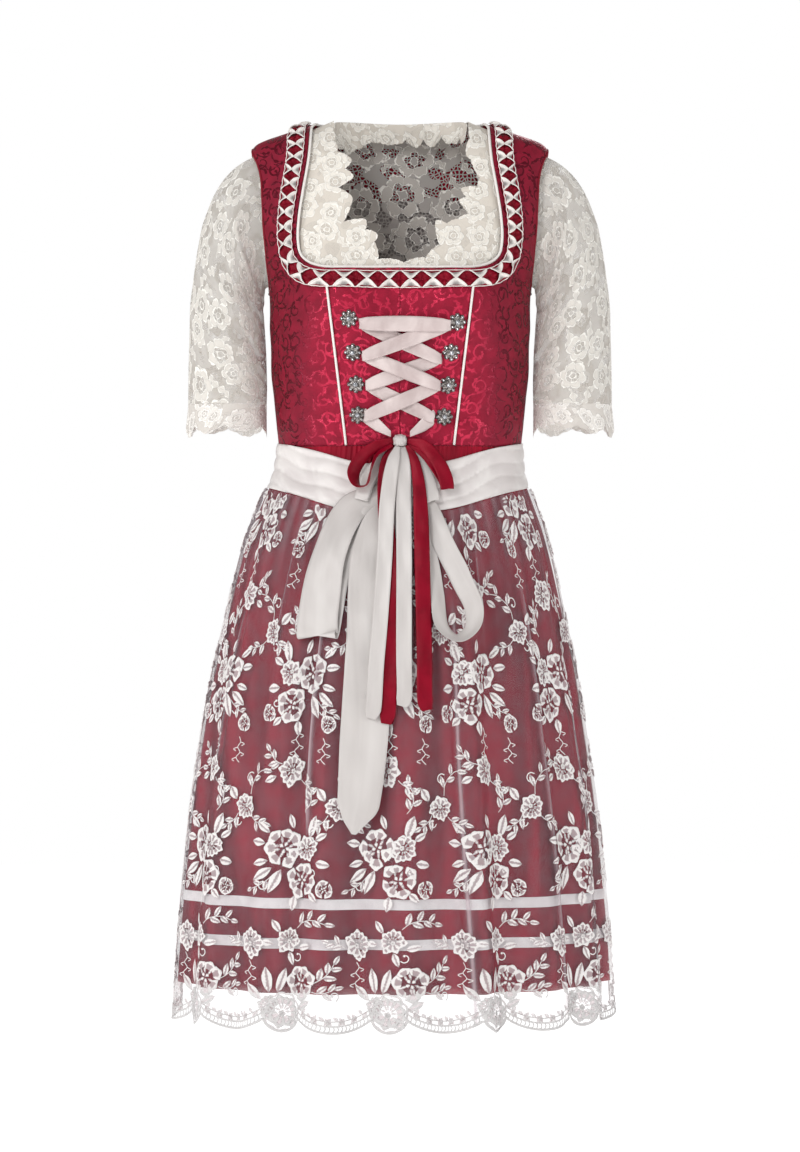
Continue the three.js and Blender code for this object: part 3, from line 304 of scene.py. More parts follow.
def clothPiece(name, points, looks, replaces=(), wall=None, ring=False, away=None):
    middle = points * np.array([0, 0, 1]) if away is None else np.array(away, float)
    out = np.cross(np.gradient(points, axis=1), np.gradient(points, axis=0))
    if dot(out, points - middle).mean() < 0:
        points = points[::-1]
    work = bmesh.new()
    addGrid(work, points, ring=ring)
    piece = makePiece(name, work, looks, replaces, wall)
    wide = np.linalg.norm(np.diff(points, axis=1), axis=-1).sum(axis=1).max()
    long = np.linalg.norm(np.diff(points, axis=0), axis=-1).sum(axis=0).max()
    area = np.linalg.norm(np.cross(np.diff(points, axis=1)[:-1], np.diff(points, axis=0)[:, :-1]), axis=-1).sum()
    area = max(0.31 * wide * long, min(area, wide * long))
    return piece


# ---- shader helpers: a node whose inputs are numbers, colours or other sockets ----
def fill(tree, node, inputs):
    for key, value in inputs.items():
        if isinstance(value, bpy.types.NodeSocket):
            tree.links.new(value, node.inputs[key])
        else:
            node.inputs[key].default_value = value
    return node


def addNode(tree, kind, inputs=None, **settings):
    node = tree.nodes.new(kind)
    for key, value in settings.items():
        setattr(node, key, value)
    return fill(tree, node, inputs or {})


def sums(tree, operation, *values):
    return addNode(tree, "ShaderNodeMath", dict(enumerate(values)), operation=operation).outputs[0]


def times(tree, first, second):
    return sums(tree, "MULTIPLY", first, second)


def plus(tree, first, second):
    return sums(tree, "ADD", first, second)


def fade(tree, value, low, high, to=(0.0, 1.0)):
    inputs = {"Value": value, "From Min": low, "From Max": high, "To Min": to[0], "To Max": to[1]}
    return addNode(tree, "ShaderNodeMapRange", inputs, interpolation_type="SMOOTHSTEP").outputs[0]


def blend(tree, factor, first, second):
    node = addNode(tree, "ShaderNodeMix", {0: factor, 6: first, 7: second}, data_type="RGBA")
    return node.outputs[2]


def newGroup(name, inputs, outputs):
    group = bpy.data.node_groups.new(name, "ShaderNodeTree")
    for label, kind, value in inputs:
        socket = group.interface.new_socket(name=label, in_out="INPUT", socket_type=kind)
        if value is not None:
            socket.default_value = value
    for label, kind in outputs:
        group.interface.new_socket(name=label, in_out="OUTPUT", socket_type=kind)
    return group, group.nodes.new("NodeGroupInput").outputs, group.nodes.new("NodeGroupOutput").inputs


number, arrow = "NodeSocketFloat", "NodeSocketVector"


def srgb(r, g, b):
    return tuple(((c / 255 + 0.055) / 1.055) ** 2.4 if c > 10 else c / 255 / 12.92 for c in (r, g, b)) + (1,)


# crossing threads and soft unevenness, for the height and the shade of a cloth
def makeWeave():
    group, given, out = newGroup("weave", [("Vector", arrow, None), ("Threads", number, 1500.0)],
                                 [("Height", number), ("Uneven", number)])
    place = addNode(group, "ShaderNodeSeparateXYZ", {0: given["Vector"]})
    pitch = times(group, given["Threads"], 6.283)
    first, second = (sums(group, "SINE", times(group, place.outputs[k], pitch)) for k in (0, 1))
    group.links.new(times(group, first, second), out["Height"])
    uneven = addNode(group, "ShaderNodeTexNoise", {"Vector": given["Vector"], "Scale": 60.0, "Detail": 4.0})
    group.links.new(uneven.outputs[0], out["Uneven"])
    return group


# cells scattered over a cloth: the place in each cell, turned the cell's own way
def turnedCells(group, vector, scale, uneven):
    cells = addNode(group, "ShaderNodeTexVoronoi", {"Vector": vector, "Scale": scale, "Randomness": uneven},
                    voronoi_dimensions="2D")
    local = addNode(group, "ShaderNodeVectorMath", {0: vector, 1: cells.outputs["Position"]}, operation="SUBTRACT")
    chance = addNode(group, "ShaderNodeSeparateXYZ", {0: cells.outputs["Color"]})
    angle = times(group, chance.outputs[0], 12.6)
    turned = addNode(group, "ShaderNodeVectorRotate", {"Vector": local.outputs[0], "Angle": angle},
                     rotation_type="Z_AXIS").outputs[0]
    place = addNode(group, "ShaderNodeSeparateXYZ", {0: turned})
    return turned, place.outputs[0], place.outputs[1]


# one layer of leaves scattered over a cloth
def leafLayer(group, vector, scale, long, wide, bend):
    _, x, y = turnedCells(group, vector, scale, 0.75)
    curved = plus(group, y, times(group, times(group, x, x), bend))
    along = sums(group, "DIVIDE", x, long)
    body = times(group, sums(group, "SUBTRACT", 1.0, times(group, along, along)), wide)
    lobes = plus(group, 0.72, times(group, 0.28, sums(group, "SINE", times(group, along, 9.0))))
    inside = sums(group, "SUBTRACT", times(group, body, lobes), sums(group, "ABSOLUTE", curved))
    return fade(group, inside, 0.0, 0.0007)


# one layer of curls: a spiral of one turn in each cell, thicker towards its outer end
def curlLayer(group, vector, scale, reach, wide):
    turned, x, y = turnedCells(group, vector, scale, 0.6)
    radius = addNode(group, "ShaderNodeVectorMath", {0: turned}, operation="LENGTH").outputs["Value"]
    turn = sums(group, "ARCTAN2", y, x)
    share = plus(group, times(group, turn, 0.159), 0.5)
    line = times(group, plus(group, 0.25, times(group, share, 0.75)), reach)
    away = sums(group, "ABSOLUTE", sums(group, "SUBTRACT", radius, line))
    thick = times(group, plus(group, 0.35, share), wide)
    return fade(group, sums(group, "SUBTRACT", thick, away), 0.0, 0.0004)


# scrolls and leaves woven into a brocade
def makeScrolls():
    group, given, out = newGroup("scrolls", [("Vector", arrow, None)], [("Figure", number)])
    warp = addNode(group, "ShaderNodeTexNoise", {"Vector": given["Vector"], "Scale": 45.0, "Detail": 1.0},
                   noise_dimensions="2D")
    wander = addNode(group, "ShaderNodeVectorMath", {0: warp.outputs["Color"], 1: (0.005, 0.005, 0.0)},
                     operation="MULTIPLY")
    bent = addNode(group, "ShaderNodeVectorMath", {0: given["Vector"], 1: wander.outputs[0]}).outputs[0]
    curls = curlLayer(group, bent, 38.0, 0.0095, 0.0014)
    strokes = leafLayer(group, bent, 44.0, 0.0145, 0.0025, 55.0)
    leaves = leafLayer(group, bent, 60.0, 0.0085, 0.003, -45.0)
    figure = sums(group, "MAXIMUM", sums(group, "MAXIMUM", curls, strokes), leaves)
    group.links.new(figure, out["Figure"])
    return group


# a net of small uneven holes: 1 on its threads
def makeNet():
    group, given, out = newGroup("net", [("Vector", arrow, None), ("Holes", number, 460.0), ("Thread", number, 0.16),
                                         ("Uneven", number, 0.35)], [("Threads", number)])
    cells = addNode(group, "ShaderNodeTexVoronoi",
                    {"Vector": given["Vector"], "Scale": given["Holes"], "Randomness": given["Uneven"]},
                    voronoi_dimensions="2D", feature="DISTANCE_TO_EDGE")
    edge = sums(group, "SUBTRACT", cells.outputs["Distance"], given["Thread"])
    group.links.new(fade(group, edge, 0.03, -0.03), out["Threads"])
    return group


# lace flowers: Cloth is 1 where it is closed, Cord on its outlines, Open where there is only net
def makeFlowers():
    group, given, out = newGroup("flowers", [("Vector", arrow, None), ("Scale", number, 27.0), ("Size", number, 0.0155),
                                             ("Patches", number, 0.55)],
                                 [("Cloth", number), ("Cord", number), ("Open", number)])
    cells = addNode(group, "ShaderNodeTexVoronoi",
                    {"Vector": given["Vector"], "Scale": given["Scale"], "Randomness": 0.5}, voronoi_dimensions="2D")
    local = addNode(group, "ShaderNodeVectorMath", {0: given["Vector"], 1: cells.outputs["Position"]}, operation="SUBTRACT")
    chance = addNode(group, "ShaderNodeSeparateXYZ", {0: cells.outputs["Color"]})
    place = addNode(group, "ShaderNodeSeparateXYZ", {0: local.outputs[0]})
    wobble = addNode(group, "ShaderNodeTexNoise", {"Vector": given["Vector"], "Scale": 150.0, "Detail": 1.0},
                     noise_dimensions="2D").outputs[0]
    size = times(group, given["Size"], plus(group, 0.8, times(group, chance.outputs[1], 0.3)))
    radius = addNode(group, "ShaderNodeVectorMath", {0: local.outputs[0]}, operation="LENGTH").outputs["Value"]
    uneven = times(group, sums(group, "SUBTRACT", wobble, 0.5), times(group, size, 0.35))
    radius = plus(group, radius, uneven)
    turn = plus(group, sums(group, "ARCTAN2", place.outputs[1], place.outputs[0]),
                times(group, chance.outputs[0], 6.3))

    def ring(at, thick):
        return fade(group, sums(group, "ABSOLUTE", sums(group, "SUBTRACT", radius, at)), thick, thick * 0.45)

    def petals(count, start, reach, notch):  # how far each of the petals reaches, and how near its seams are
        wave = sums(group, "ABSOLUTE", sums(group, "SINE", plus(group, times(group, turn, count / 2), start)))
        far = plus(group, 1 - notch, times(group, sums(group, "POWER", wave, 0.5), notch))
        return times(group, times(group, size, reach), far), times(group, wave, radius)
    edge, seamOut = petals(6, 0.0, 1.0, 0.3)
    middle, seamIn = petals(5, 0.8, 0.56, 0.3)
    core = times(group, size, 0.22)
    inside = fade(group, sums(group, "SUBTRACT", radius, edge), 0.0003, -0.0003)
    beyond = fade(group, sums(group, "SUBTRACT", radius, middle), -0.0002, 0.0002)
    past = fade(group, sums(group, "SUBTRACT", radius, core), -0.0002, 0.0002)
    outer = times(group, fade(group, seamOut, 0.0011, 0.0005), times(group, inside, beyond))
    inner = times(group, fade(group, seamIn, 0.001, 0.0005), sums(group, "SUBTRACT", past, beyond))
    cord = sums(group, "MAXIMUM", sums(group, "MAXIMUM", ring(edge, 0.0013), outer), sums(group, "MAXIMUM", ring(middle, 0.001), inner))
    cord = sums(group, "MAXIMUM", cord, ring(core, 0.0009))
    leaves = leafLayer(group, given["Vector"], 40.0, 0.013, 0.0056, 34.0)
    leafCore = leafLayer(group, given["Vector"], 40.0, 0.0115, 0.004, 34.0)
    rib = leafLayer(group, given["Vector"], 40.0, 0.0115, 0.0007, 34.0)
    outside = sums(group, "SUBTRACT", 1.0, inside)
    leafCord = times(group, sums(group, "MAXIMUM", sums(group, "SUBTRACT", leaves, leafCore), rib), outside)
    closed = sums(group, "MAXIMUM", times(group, inside, beyond), times(group, leafCore, outside))
    patch = addNode(group, "ShaderNodeTexNoise", {"Vector": given["Vector"], "Scale": 44.0, "Detail": 0.0},
                    noise_dimensions="2D").outputs[0]
    patch = fade(group, sums(group, "SUBTRACT", patch, given["Patches"]), -0.01, 0.01)
    bare = times(group, sums(group, "SUBTRACT", 1.0, leaves), times(group, outside, patch))
    group.links.new(closed, out["Cloth"])
    group.links.new(sums(group, "MAXIMUM", cord, leafCord), out["Cord"])
    group.links.new(sums(group, "MAXIMUM", bare, sums(group, "SUBTRACT", past, beyond)), out["Open"])
    return group


weave, scrolls, net, flowers = makeWeave(), makeScrolls(), makeNet(), makeFlowers()


def newLook(name):
    look = bpy.data.materials.new(name)
    look.use_nodes = True
    tree = look.node_tree
    shader = tree.nodes["Principled BSDF"]
    flat = tree.nodes.new("ShaderNodeUVMap")
    flat.uv_map = "UVMap"
    return look, tree, shader, flat.outputs[0]


def useGroup(tree, group, inputs):
    return addNode(tree, "ShaderNodeGroup", inputs, node_tree=group).outputs


def relief(tree, shader, height):
    bump = addNode(tree, "ShaderNodeBump", {"Height": height, "Distance": 1.0, "Strength": 1.0})
    tree.links.new(bump.outputs[0], shader.inputs["Normal"])


def satinLook(name, colour, shade, roughness, sheen=0.3, wrinkle=0.0012, gleam=0.35, stretch=1.0):
    look, tree, shader, flat = newLook(name)
    flat = addNode(tree, "ShaderNodeVectorMath", {0: flat, 1: (1.0, stretch, 1.0)}, operation="MULTIPLY").outputs[0]
    threads = useGroup(tree, weave, {"Vector": flat, "Threads": 2200.0})
    shader.inputs["Specular IOR Level"].default_value = gleam
    shader.inputs["Specular Tint"].default_value = tuple(0.35 + 0.65 * c / max(colour[:3]) for c in colour[:3]) + (1,)
    soft = addNode(tree, "ShaderNodeTexNoise", {"Vector": flat, "Scale": 24.0, "Detail": 3.0, "Distortion": 0.6}).outputs[0]
    # the soft noise mixes in the darker shade colour; where it is stretched along the cloth (the skirt, the white
    # ribbons) it paints long streaks of fold shade
    tree.links.new(blend(tree, fade(tree, soft, 0.3, 0.72), shade, colour), shader.inputs["Base Color"])
    tree.links.new(fade(tree, threads["Uneven"], 0.3, 0.7, (roughness - 0.05, roughness + 0.07)), shader.inputs["Roughness"])
    height = plus(tree, times(tree, soft, wrinkle), times(tree, threads["Height"], 0.000015))
    relief(tree, shader, height)
    shader.inputs["Sheen Weight"].default_value = sheen
    shader.inputs["Sheen Roughness"].default_value = 0.4
    shader.inputs["Anisotropic"].default_value = 0.4
    return look


def brocadeLook():
    look, tree, shader, flat = newLook("crimsonBrocade")
    figure = useGroup(tree, scrolls, {"Vector": flat})["Figure"]
    threads = useGroup(tree, weave, {"Vector": flat, "Threads": 1300.0})
    place = addNode(tree, "ShaderNodeSeparateXYZ", {0: tree.nodes.new("ShaderNodeTexCoord").outputs["Object"]})
    across = sums(tree, "ABSOLUTE", place.outputs[0])
    # painted light: figure and ground are painted lighter on the front panels of the bodice, and darker as painted
    # shade towards the sides and back
    paintedGleam = times(tree, fade(tree, across, 0.125, 0.075), fade(tree, place.outputs[1], 0.0, -0.05))
    uneven = fade(tree, threads["Uneven"], 0.3, 0.7)
    paintedShadeGround = blend(tree, uneven, srgb(104, 4, 25), srgb(128, 9, 35))
    ground = blend(tree, paintedGleam, paintedShadeGround, blend(tree, uneven, srgb(120, 6, 30), srgb(146, 12, 41)))
    tint = blend(tree, paintedGleam, srgb(82, 3, 19), srgb(194, 44, 72))  # painted highlight: the figure is painted pale on the front panels, where its satin would catch the light, and painted dark as shade elsewhere
    tree.links.new(blend(tree, figure, ground, tint), shader.inputs["Base Color"])
    tree.links.new(fade(tree, figure, 0.0, 1.0, (0.62, 0.24)), shader.inputs["Roughness"])
    tree.links.new(fade(tree, figure, 0.0, 1.0, (0.0, 0.3)), shader.inputs["Metallic"])
    height = plus(tree, times(tree, figure, 0.0003), times(tree, threads["Height"], 0.00002))
    wrinkles = addNode(tree, "ShaderNodeTexNoise", {"Vector": flat, "Scale": 95.0, "Detail": 3.0}).outputs[0]
    relief(tree, shader, plus(tree, height, times(tree, wrinkles, 0.0012)))
    shader.inputs["Specular IOR Level"].default_value = 1.0
    shader.inputs["Specular Tint"].default_value = (1.0, 0.22, 0.34, 1)
    return look


# ground is how dense the plain net is, patches how little of it is open, and veil how dense its holes stay
def laceLook(name, ground, colour, shade, bare, scale=27.0, size=0.0155, closed=0.9, holes=560.0, patches=0.55, veil=0.1,
             uneven=0.35):
    look, tree, shader, flat = newLook(name)
    bloom = useGroup(tree, flowers, {"Vector": flat, "Scale": scale, "Size": size, "Patches": patches})
    mesh = useGroup(tree, net, {"Vector": flat, "Holes": holes, "Thread": 0.15, "Uneven": uneven})["Threads"]
    fine = useGroup(tree, weave, {"Vector": flat, "Threads": 900.0})
    body = sums(tree, "MAXIMUM", times(tree, bloom["Cloth"], closed), ground)
    holed = sums(tree, "MAXIMUM", mesh, veil)
    body = plus(tree, times(tree, body, sums(tree, "SUBTRACT", 1.0, bloom["Open"])),
                times(tree, holed, bloom["Open"]))
    tree.links.new(sums(tree, "MAXIMUM", body, bloom["Cord"]), shader.inputs["Alpha"])
    tint = blend(tree, bloom["Cord"], blend(tree, bloom["Cloth"], bare, shade), colour)
    tree.links.new(tint, shader.inputs["Base Color"])
    shader.inputs["Roughness"].default_value = 0.8
    shader.inputs["Specular IOR Level"].default_value = 0.2
    height = plus(tree, times(tree, bloom["Cord"], 0.0006), times(tree, bloom["Cloth"], 0.0002))
    height = plus(tree, height, times(tree, fine["Height"], 0.00006))
    relief(tree, shader, height)
    return look


def organzaLook():
    look, tree, shader, flat = newLook("sheerOrganza")
    threads = useGroup(tree, weave, {"Vector": flat, "Threads": 1800.0})
    dense = addNode(tree, "ShaderNodeAttribute", attribute_name="dense").outputs["Fac"]  # 1 along the narrow folds and gathers, where the cloth lies doubled; its colour there is painted paler, partly for the doubled cloth and partly as painted highlight on the folds
    thick = plus(tree, fade(tree, threads["Uneven"], 0.3, 0.7, (0.2, 0.28)), times(tree, dense, 0.5))
    tree.links.new(sums(tree, "MINIMUM", thick, 0.9), shader.inputs["Alpha"])
    pale = addNode(tree, "ShaderNodeAttribute", attribute_name="pale").outputs["Fac"]  # 1 where no skirt is behind it: the cloth is painted pale there, and painted a dark grey over the skirt as painted shade
    bare = blend(tree, pale, srgb(138, 134, 140), srgb(226, 221, 222))
    tree.links.new(blend(tree, dense, bare, srgb(204, 186, 192)), shader.inputs["Base Color"])
    shader.inputs["Roughness"].default_value = 0.5
    shader.inputs["Specular IOR Level"].default_value = 0.3
    relief(tree, shader, times(tree, threads["Height"], 0.00004))
    return look


def shellLook():  # pinched ribbon ends: pale rims and a hollow painted grey as shade; its map runs from rim to rim and outwards
    look, tree, shader, flat = newLook("pinchedShell")
    place = addNode(tree, "ShaderNodeSeparateXYZ", {0: flat})
    across = sums(tree, "ABSOLUTE", place.outputs[0])
    ribs = sums(tree, "SINE", times(tree, place.outputs[0], 2600.0))
    shadedHollow = times(tree, fade(tree, across, 0.0062, 0.001), fade(tree, place.outputs[1], 0.001, 0.006))
    # painted shade: the hollow of each shell is painted grey
    tint = blend(tree, shadedHollow, srgb(238, 233, 228), srgb(150, 144, 142))
    tree.links.new(tint, shader.inputs["Base Color"])
    shader.inputs["Roughness"].default_value = 0.45
    relief(tree, shader, times(tree, times(tree, ribs, shadedHollow), 0.0003))
    return look


def threadLook(name, colour, shade, pitch=1700.0):
    look, tree, shader, flat = newLook(name)
    run = addNode(tree, "ShaderNodeSeparateXYZ", {0: flat})
    wobble = addNode(tree, "ShaderNodeTexNoise", {"Vector": flat, "Scale": 900.0}).outputs[0]
    phase = plus(tree, times(tree, run.outputs[1], pitch * 6.283), times(tree, wobble, 3.0))
    stitch = sums(tree, "SINE", phase)
    tree.links.new(blend(tree, fade(tree, stitch, -1.0, 0.4), shade, colour), shader.inputs["Base Color"])
    shader.inputs["Roughness"].default_value = 0.6
    shader.inputs["Specular IOR Level"].default_value = 0.25
    relief(tree, shader, times(tree, stitch, 0.00008))
    return look


def stitchingLook():  # white satin stitch: the raised rims are close and pale, the low fill lets the cloth through
    look, tree, shader, flat = newLook("satinStitch")
    place = addNode(tree, "ShaderNodeSeparateXYZ", {0: flat})
    raised = times(tree, place.outputs[0], 1000.0)
    stitch = sums(tree, "SINE", times(tree, place.outputs[1], 5600.0))
    spots = addNode(tree, "ShaderNodeTexNoise", {"Vector": tree.nodes.new("ShaderNodeTexCoord").outputs["Object"],
                                                 "Scale": 520.0, "Detail": 2.0}).outputs[0]
    rim = fade(tree, plus(tree, raised, times(tree, sums(tree, "SUBTRACT", spots, 0.5), 0.7)), 0.25, 0.6)
    height = addNode(tree, "ShaderNodeSeparateXYZ", {0: tree.nodes.new("ShaderNodeTexCoord").outputs["Object"]}).outputs[2]
    pale = blend(tree, fade(tree, height, -1.012, -1.03), srgb(246, 242, 240), srgb(216, 214, 213))  # painted shade: the lace is painted grey towards its edge below the hem
    tint = blend(tree, rim, srgb(206, 188, 190), pale)
    # the low lines between the stitches are painted a darker grey, as shade in the grooves
    tree.links.new(blend(tree, fade(tree, stitch, 0.6, -1.0, (0.0, 0.35)), tint, srgb(184, 175, 177)), shader.inputs["Base Color"])
    tree.links.new(sums(tree, "MAXIMUM", rim, 0.66), shader.inputs["Alpha"])
    shader.inputs["Roughness"].default_value = 0.6
    shader.inputs["Specular IOR Level"].default_value = 0.25
    relief(tree, shader, plus(tree, times(tree, stitch, 0.00012), times(tree, spots, 0.0006)))
    return look


def metalLook():
    look, tree, shader, flat = newLook("antiqueSilver")
    place = tree.nodes.new("ShaderNodeTexCoord").outputs["Object"]
    tarnish = addNode(tree, "ShaderNodeTexNoise", {"Vector": place, "Scale": 420.0, "Detail": 4.0}).outputs[0]
    tint = blend(tree, fade(tree, tarnish, 0.35, 0.65), srgb(66, 62, 60), srgb(176, 170, 166))
    tree.links.new(tint, shader.inputs["Base Color"])
    tree.links.new(fade(tree, tarnish, 0.3, 0.7, (0.5, 0.26)), shader.inputs["Roughness"])
    shader.inputs["Metallic"].default_value = 0.95
    relief(tree, shader, times(tree, tarnish, 0.0002))
    return look


def crystalLook():
    look, tree, shader, flat = newLook("crystal")
    place = tree.nodes.new("ShaderNodeTexCoord").outputs["Object"]
    glints = addNode(tree, "ShaderNodeTexVoronoi", {"Vector": place, "Scale": 900.0}).outputs["Distance"]
    tint = blend(tree, fade(tree, glints, 0.1, 0.6), srgb(250, 250, 252), srgb(120, 124, 130))
    tree.links.new(tint, shader.inputs["Base Color"])
    shader.inputs["Roughness"].default_value = 0.06
    shader.inputs["Metallic"].default_value = 0.35
    shader.inputs["Coat Weight"].default_value = 1.0
    return look


looks = {
    "brocade": brocadeLook(),
    "lining": satinLook("greyLining", srgb(166, 158, 156), srgb(148, 140, 138), 0.8, 0.0, 0.0006, 0.15),
    "skirt": satinLook("crimsonSatin", srgb(160, 12, 42), srgb(112, 4, 26), 0.5, 0.0, 0.002, 0.35, 0.12),
    "ribbonRed": satinLook("crimsonRibbon", srgb(138, 7, 34), srgb(112, 4, 25), 0.36, 0.0, 0.001),
    "sash": satinLook("sashSatin", srgb(232, 227, 224), srgb(214, 207, 205), 0.34, 0.1, 0.0018),
    "ribbonWhite": satinLook("whiteRibbon", srgb(208, 203, 200), srgb(190, 184, 181), 0.34, 0.1, 0.0016, 0.35, 0.16),
    "lacing": satinLook("lacingRibbon", srgb(218, 204, 201), srgb(184, 167, 165), 0.32, 0.1, 0.0024),
    "band": satinLook("bandRibbon", srgb(252, 248, 248), srgb(240, 232, 233), 0.4, 0.1, 0.0004),
    "piping": threadLook("whitePiping", srgb(246, 242, 238), srgb(228, 222, 216), 900.0),
    "redPiping": threadLook("crimsonPiping", srgb(140, 10, 36), srgb(100, 4, 24), 900.0),
    "thread": threadLook("whiteThread", srgb(250, 247, 246), srgb(216, 209, 211)),
    "lace": laceLook("sleeveLace", 0.62, srgb(244, 241, 234), srgb(223, 218, 210), srgb(202, 196, 188)),
    "yoke": laceLook("yokeLace", 0.97, srgb(250, 246, 238), srgb(236, 230, 220), srgb(219, 211, 200), 34.0, 0.013,
                     1.0, 700.0, 0.6, 0.75),
    "backLace": laceLook("backLace", 0.97, srgb(250, 246, 240), srgb(198, 192, 186), srgb(178, 172, 168), 17.0, 0.027,
                         1.0, 230.0, 0.47, 0.0, 1.0),
    "cuff": laceLook("cuffLace", 0.86, srgb(252, 248, 243), srgb(236, 231, 224), srgb(216, 210, 203), 44.0, 0.011,
                     0.95, 620.0, 0.56, 0.2),
    "shell": shellLook(),
    "stitching": stitchingLook(),
    "organza": organzaLook(),
    "silver": metalLook(),
    "crystal": crystalLook(),
}
print("materials made")

# ---- camera, floor and light ----
view = {"distance": 4.5, "height": -0.542, "lens": 117.2}
camera = bpy.data.objects.new("camera", bpy.data.cameras.new("camera"))
camera.location = (0, -view["distance"], view["height"])
camera.rotation_euler = (math.pi / 2, 0, 0)
camera.data.sensor_fit = "VERTICAL"
camera.data.sensor_height = 36
camera.data.sensor_width = 25
camera.data.lens = view["lens"]
bpy.context.scene.collection.objects.link(camera)
bpy.context.scene.camera = camera

work = bmesh.new()
bmesh.ops.create_circle(work, cap_ends=True, segments=96, radius=7)
bmesh.ops.translate(work, verts=work.verts, vec=(0, 0, -1.42))
floorMesh = bpy.data.meshes.new("floor")
work.to_mesh(floorMesh)
work.free()
floor = bpy.data.objects.new("floor", floorMesh)
bpy.context.scene.collection.objects.link(floor)
floorLook, floorTree, floorShader, _ = newLook("paleFloor")
fill(floorTree, floorShader, {"Base Color": (0.93, 0.93, 0.93, 1), "Roughness": 1.0, "Specular IOR Level": 0.0,
                              "Emission Color": (1, 1, 1, 1), "Emission Strength": 0.62})
floorMesh.materials.append(floorLook)

lamps = [("key", (-1.7, -3.2, 1.5), 1.2, 56), ("fill", (2.8, -2.6, 0.2), 2.4, 8), ("back", (0.8, 3.0, 1.2), 2.0, 40),
         ("leftSide", (-3.3, -1.8, -0.1), 0.9, 26), ("rightSide", (3.3, -2.0, -0.1), 0.9, 18)]
for name, place, size, power in lamps:
    lamp = bpy.data.objects.new(name, bpy.data.lights.new(name, "AREA"))
    lamp.data.size, lamp.data.energy = size, power
    lamp.location = place
    aim = np.array([0, 0, -0.5]) - np.array(place)
    lamp.rotation_euler = (math.atan2(math.hypot(aim[0], aim[1]), -aim[2]), 0, math.atan2(aim[0], -aim[1]) + math.pi)
    bpy.context.scene.collection.objects.link(lamp)
world = bpy.context.scene.world or bpy.data.worlds.new("studio")
bpy.context.scene.world = world
world.use_nodes = True
sky = world.node_tree
seen = sky.nodes.new("ShaderNodeLightPath").outputs["Is Camera Ray"]
sky.links.new(fade(sky, seen, 0.0, 1.0, (0.42, 1.0)), sky.nodes["Background"].inputs["Strength"])  # a white backdrop
sky.nodes["Background"].inputs["Color"].default_value = (1, 1, 1, 1)
bpy.context.scene.view_settings.view_transform = "Standard"

# ---- bodice ----
neckLine = table("x z", (0, -181), (50, -181), (88, -180), (108, -174), (119, -163), (122.5, -146),
                 (121.5, -118), (117, -86), (110, -42), (102, 0))
backPrincess = table("x z", (58, -389), (65, -330), (82, -250), (106, -192), (130, -158))
bodice = {"princessTop": 88, "princessBottom": 63, "armhole": -117, "wall": 1.6, "backSeamTurn": 0.71,
          "hole": {"tall": 88, "front": 41, "back": 51}, "piping": 1.6, "liningTop": -84}
# soft creases: place, direction of the run in degrees, length, width, depth, and 1 for the back
creases = table("x z turn run wide deep back",
                (104, -330, 62, 60, 9, 1.5, 0), (-104, -330, 118, 60, 9, 1.5, 0), (84, -352, 20, 40, 6, -1.2, 0),
                (-84, -352, 160, 40, 6, -1.2, 0), (118, -276, 40, 42, 8, 1.2, 0), (-118, -276, 140, 42, 8, 1.2, 0),
                (140, -190, 70, 34, 6, -1.4, 0), (-140, -190, 110, 34, 6, -1.4, 0), (30, -214, 8, 34, 5, -0.8, 0),
                (-28, -216, -8, 34, 5, -0.8, 0), (60, -372, 4, 70, 5, 0.9, 0), (-64, -374, -4, 70, 5, 0.9, 0),
                (0, -300, 4, 90, 10, 1.2, 1), (40, -352, 16, 60, 7, -1.4, 1), (-46, -348, -18, 60, 7, -1.4, 1),
                (96, -330, 70, 50, 8, 1.2, 1), (-96, -330, 110, 50, 8, 1.2, 1), (0, -374, 0, 90, 5, 1.0, 1),
                (70, -120, 60, 50, 10, 1.2, 1), (-70, -120, 120, 50, 10, 1.2, 1))


def creased(p):
    out = 0.35 * np.sin(p[..., 2] * 0.11 + p[..., 0] * 0.04) * np.sin(p[..., 0] * 0.07 - p[..., 2] * 0.023)
    for x, z, turn, run, wide, deep, back in zip(*creases.values()):
        c, s = math.cos(math.radians(turn)), math.sin(math.radians(turn))
        dx, dz = p[..., 0] - x, p[..., 2] - z
        near = np.exp(-((dx * c + dz * s) / run) ** 2 - ((-dx * s + dz * c) / wide) ** 2)
        out = out + deep * near * ((p[..., 1] > 0) == bool(back))
    return out


waistSeam = form["waist"] + form["seamGap"] / 2
neckFront = curveThrough(onFront(neckLine["x"], neckLine["z"]))
quarter = np.linspace(0, math.pi / 2, 9)
neckBack = curveThrough(settle(vec(102 * np.cos(quarter), 69 * np.sin(quarter), -4 * np.sin(quarter) ** 2)))


def armholePoint(turn, hole):
    turn = np.asarray(turn, float)
    y = -np.sin(2 * math.pi * turn) * np.where(turn < 0.5, hole["front"], hole["back"])
    return onSide(y, bodice["armhole"] + hole["tall"] * np.cos(2 * math.pi * turn))


def dressHole(turn):
    return armholePoint(turn, bodice["hole"])


def sideSeam(t):
    return onSide(0 * np.asarray(t, float), lerp(waistSeam, form["underarm"], t))


def princessSeam(t):
    return onFront(lerp(bodice["princessBottom"], bodice["princessTop"], t), lerp(waistSeam, form["neckFloor"] + 1, t))


def ridge(t):
    return onSide(0 * np.asarray(t, float), lerp(0, bodice["armhole"] + bodice["hole"]["tall"], t))


def waistAt(degrees):
    return settle(skirtSkin(degrees, waistSeam + 0 * degrees, 0))


def turnOf(p):
    return math.degrees(math.atan2(p[0], -p[1]))


backSeam = curveThrough(np.vstack([onBack(backPrincess["x"], np.maximum(backPrincess["z"], waistSeam)),
                                   dressHole(bodice["backSeamTurn"])]))
neckShares = np.linspace(0, 1, 1001)
neckBreak = neckShares[np.argmax(neckFront(neckShares)[:, 0] >= bodice["princessTop"])]


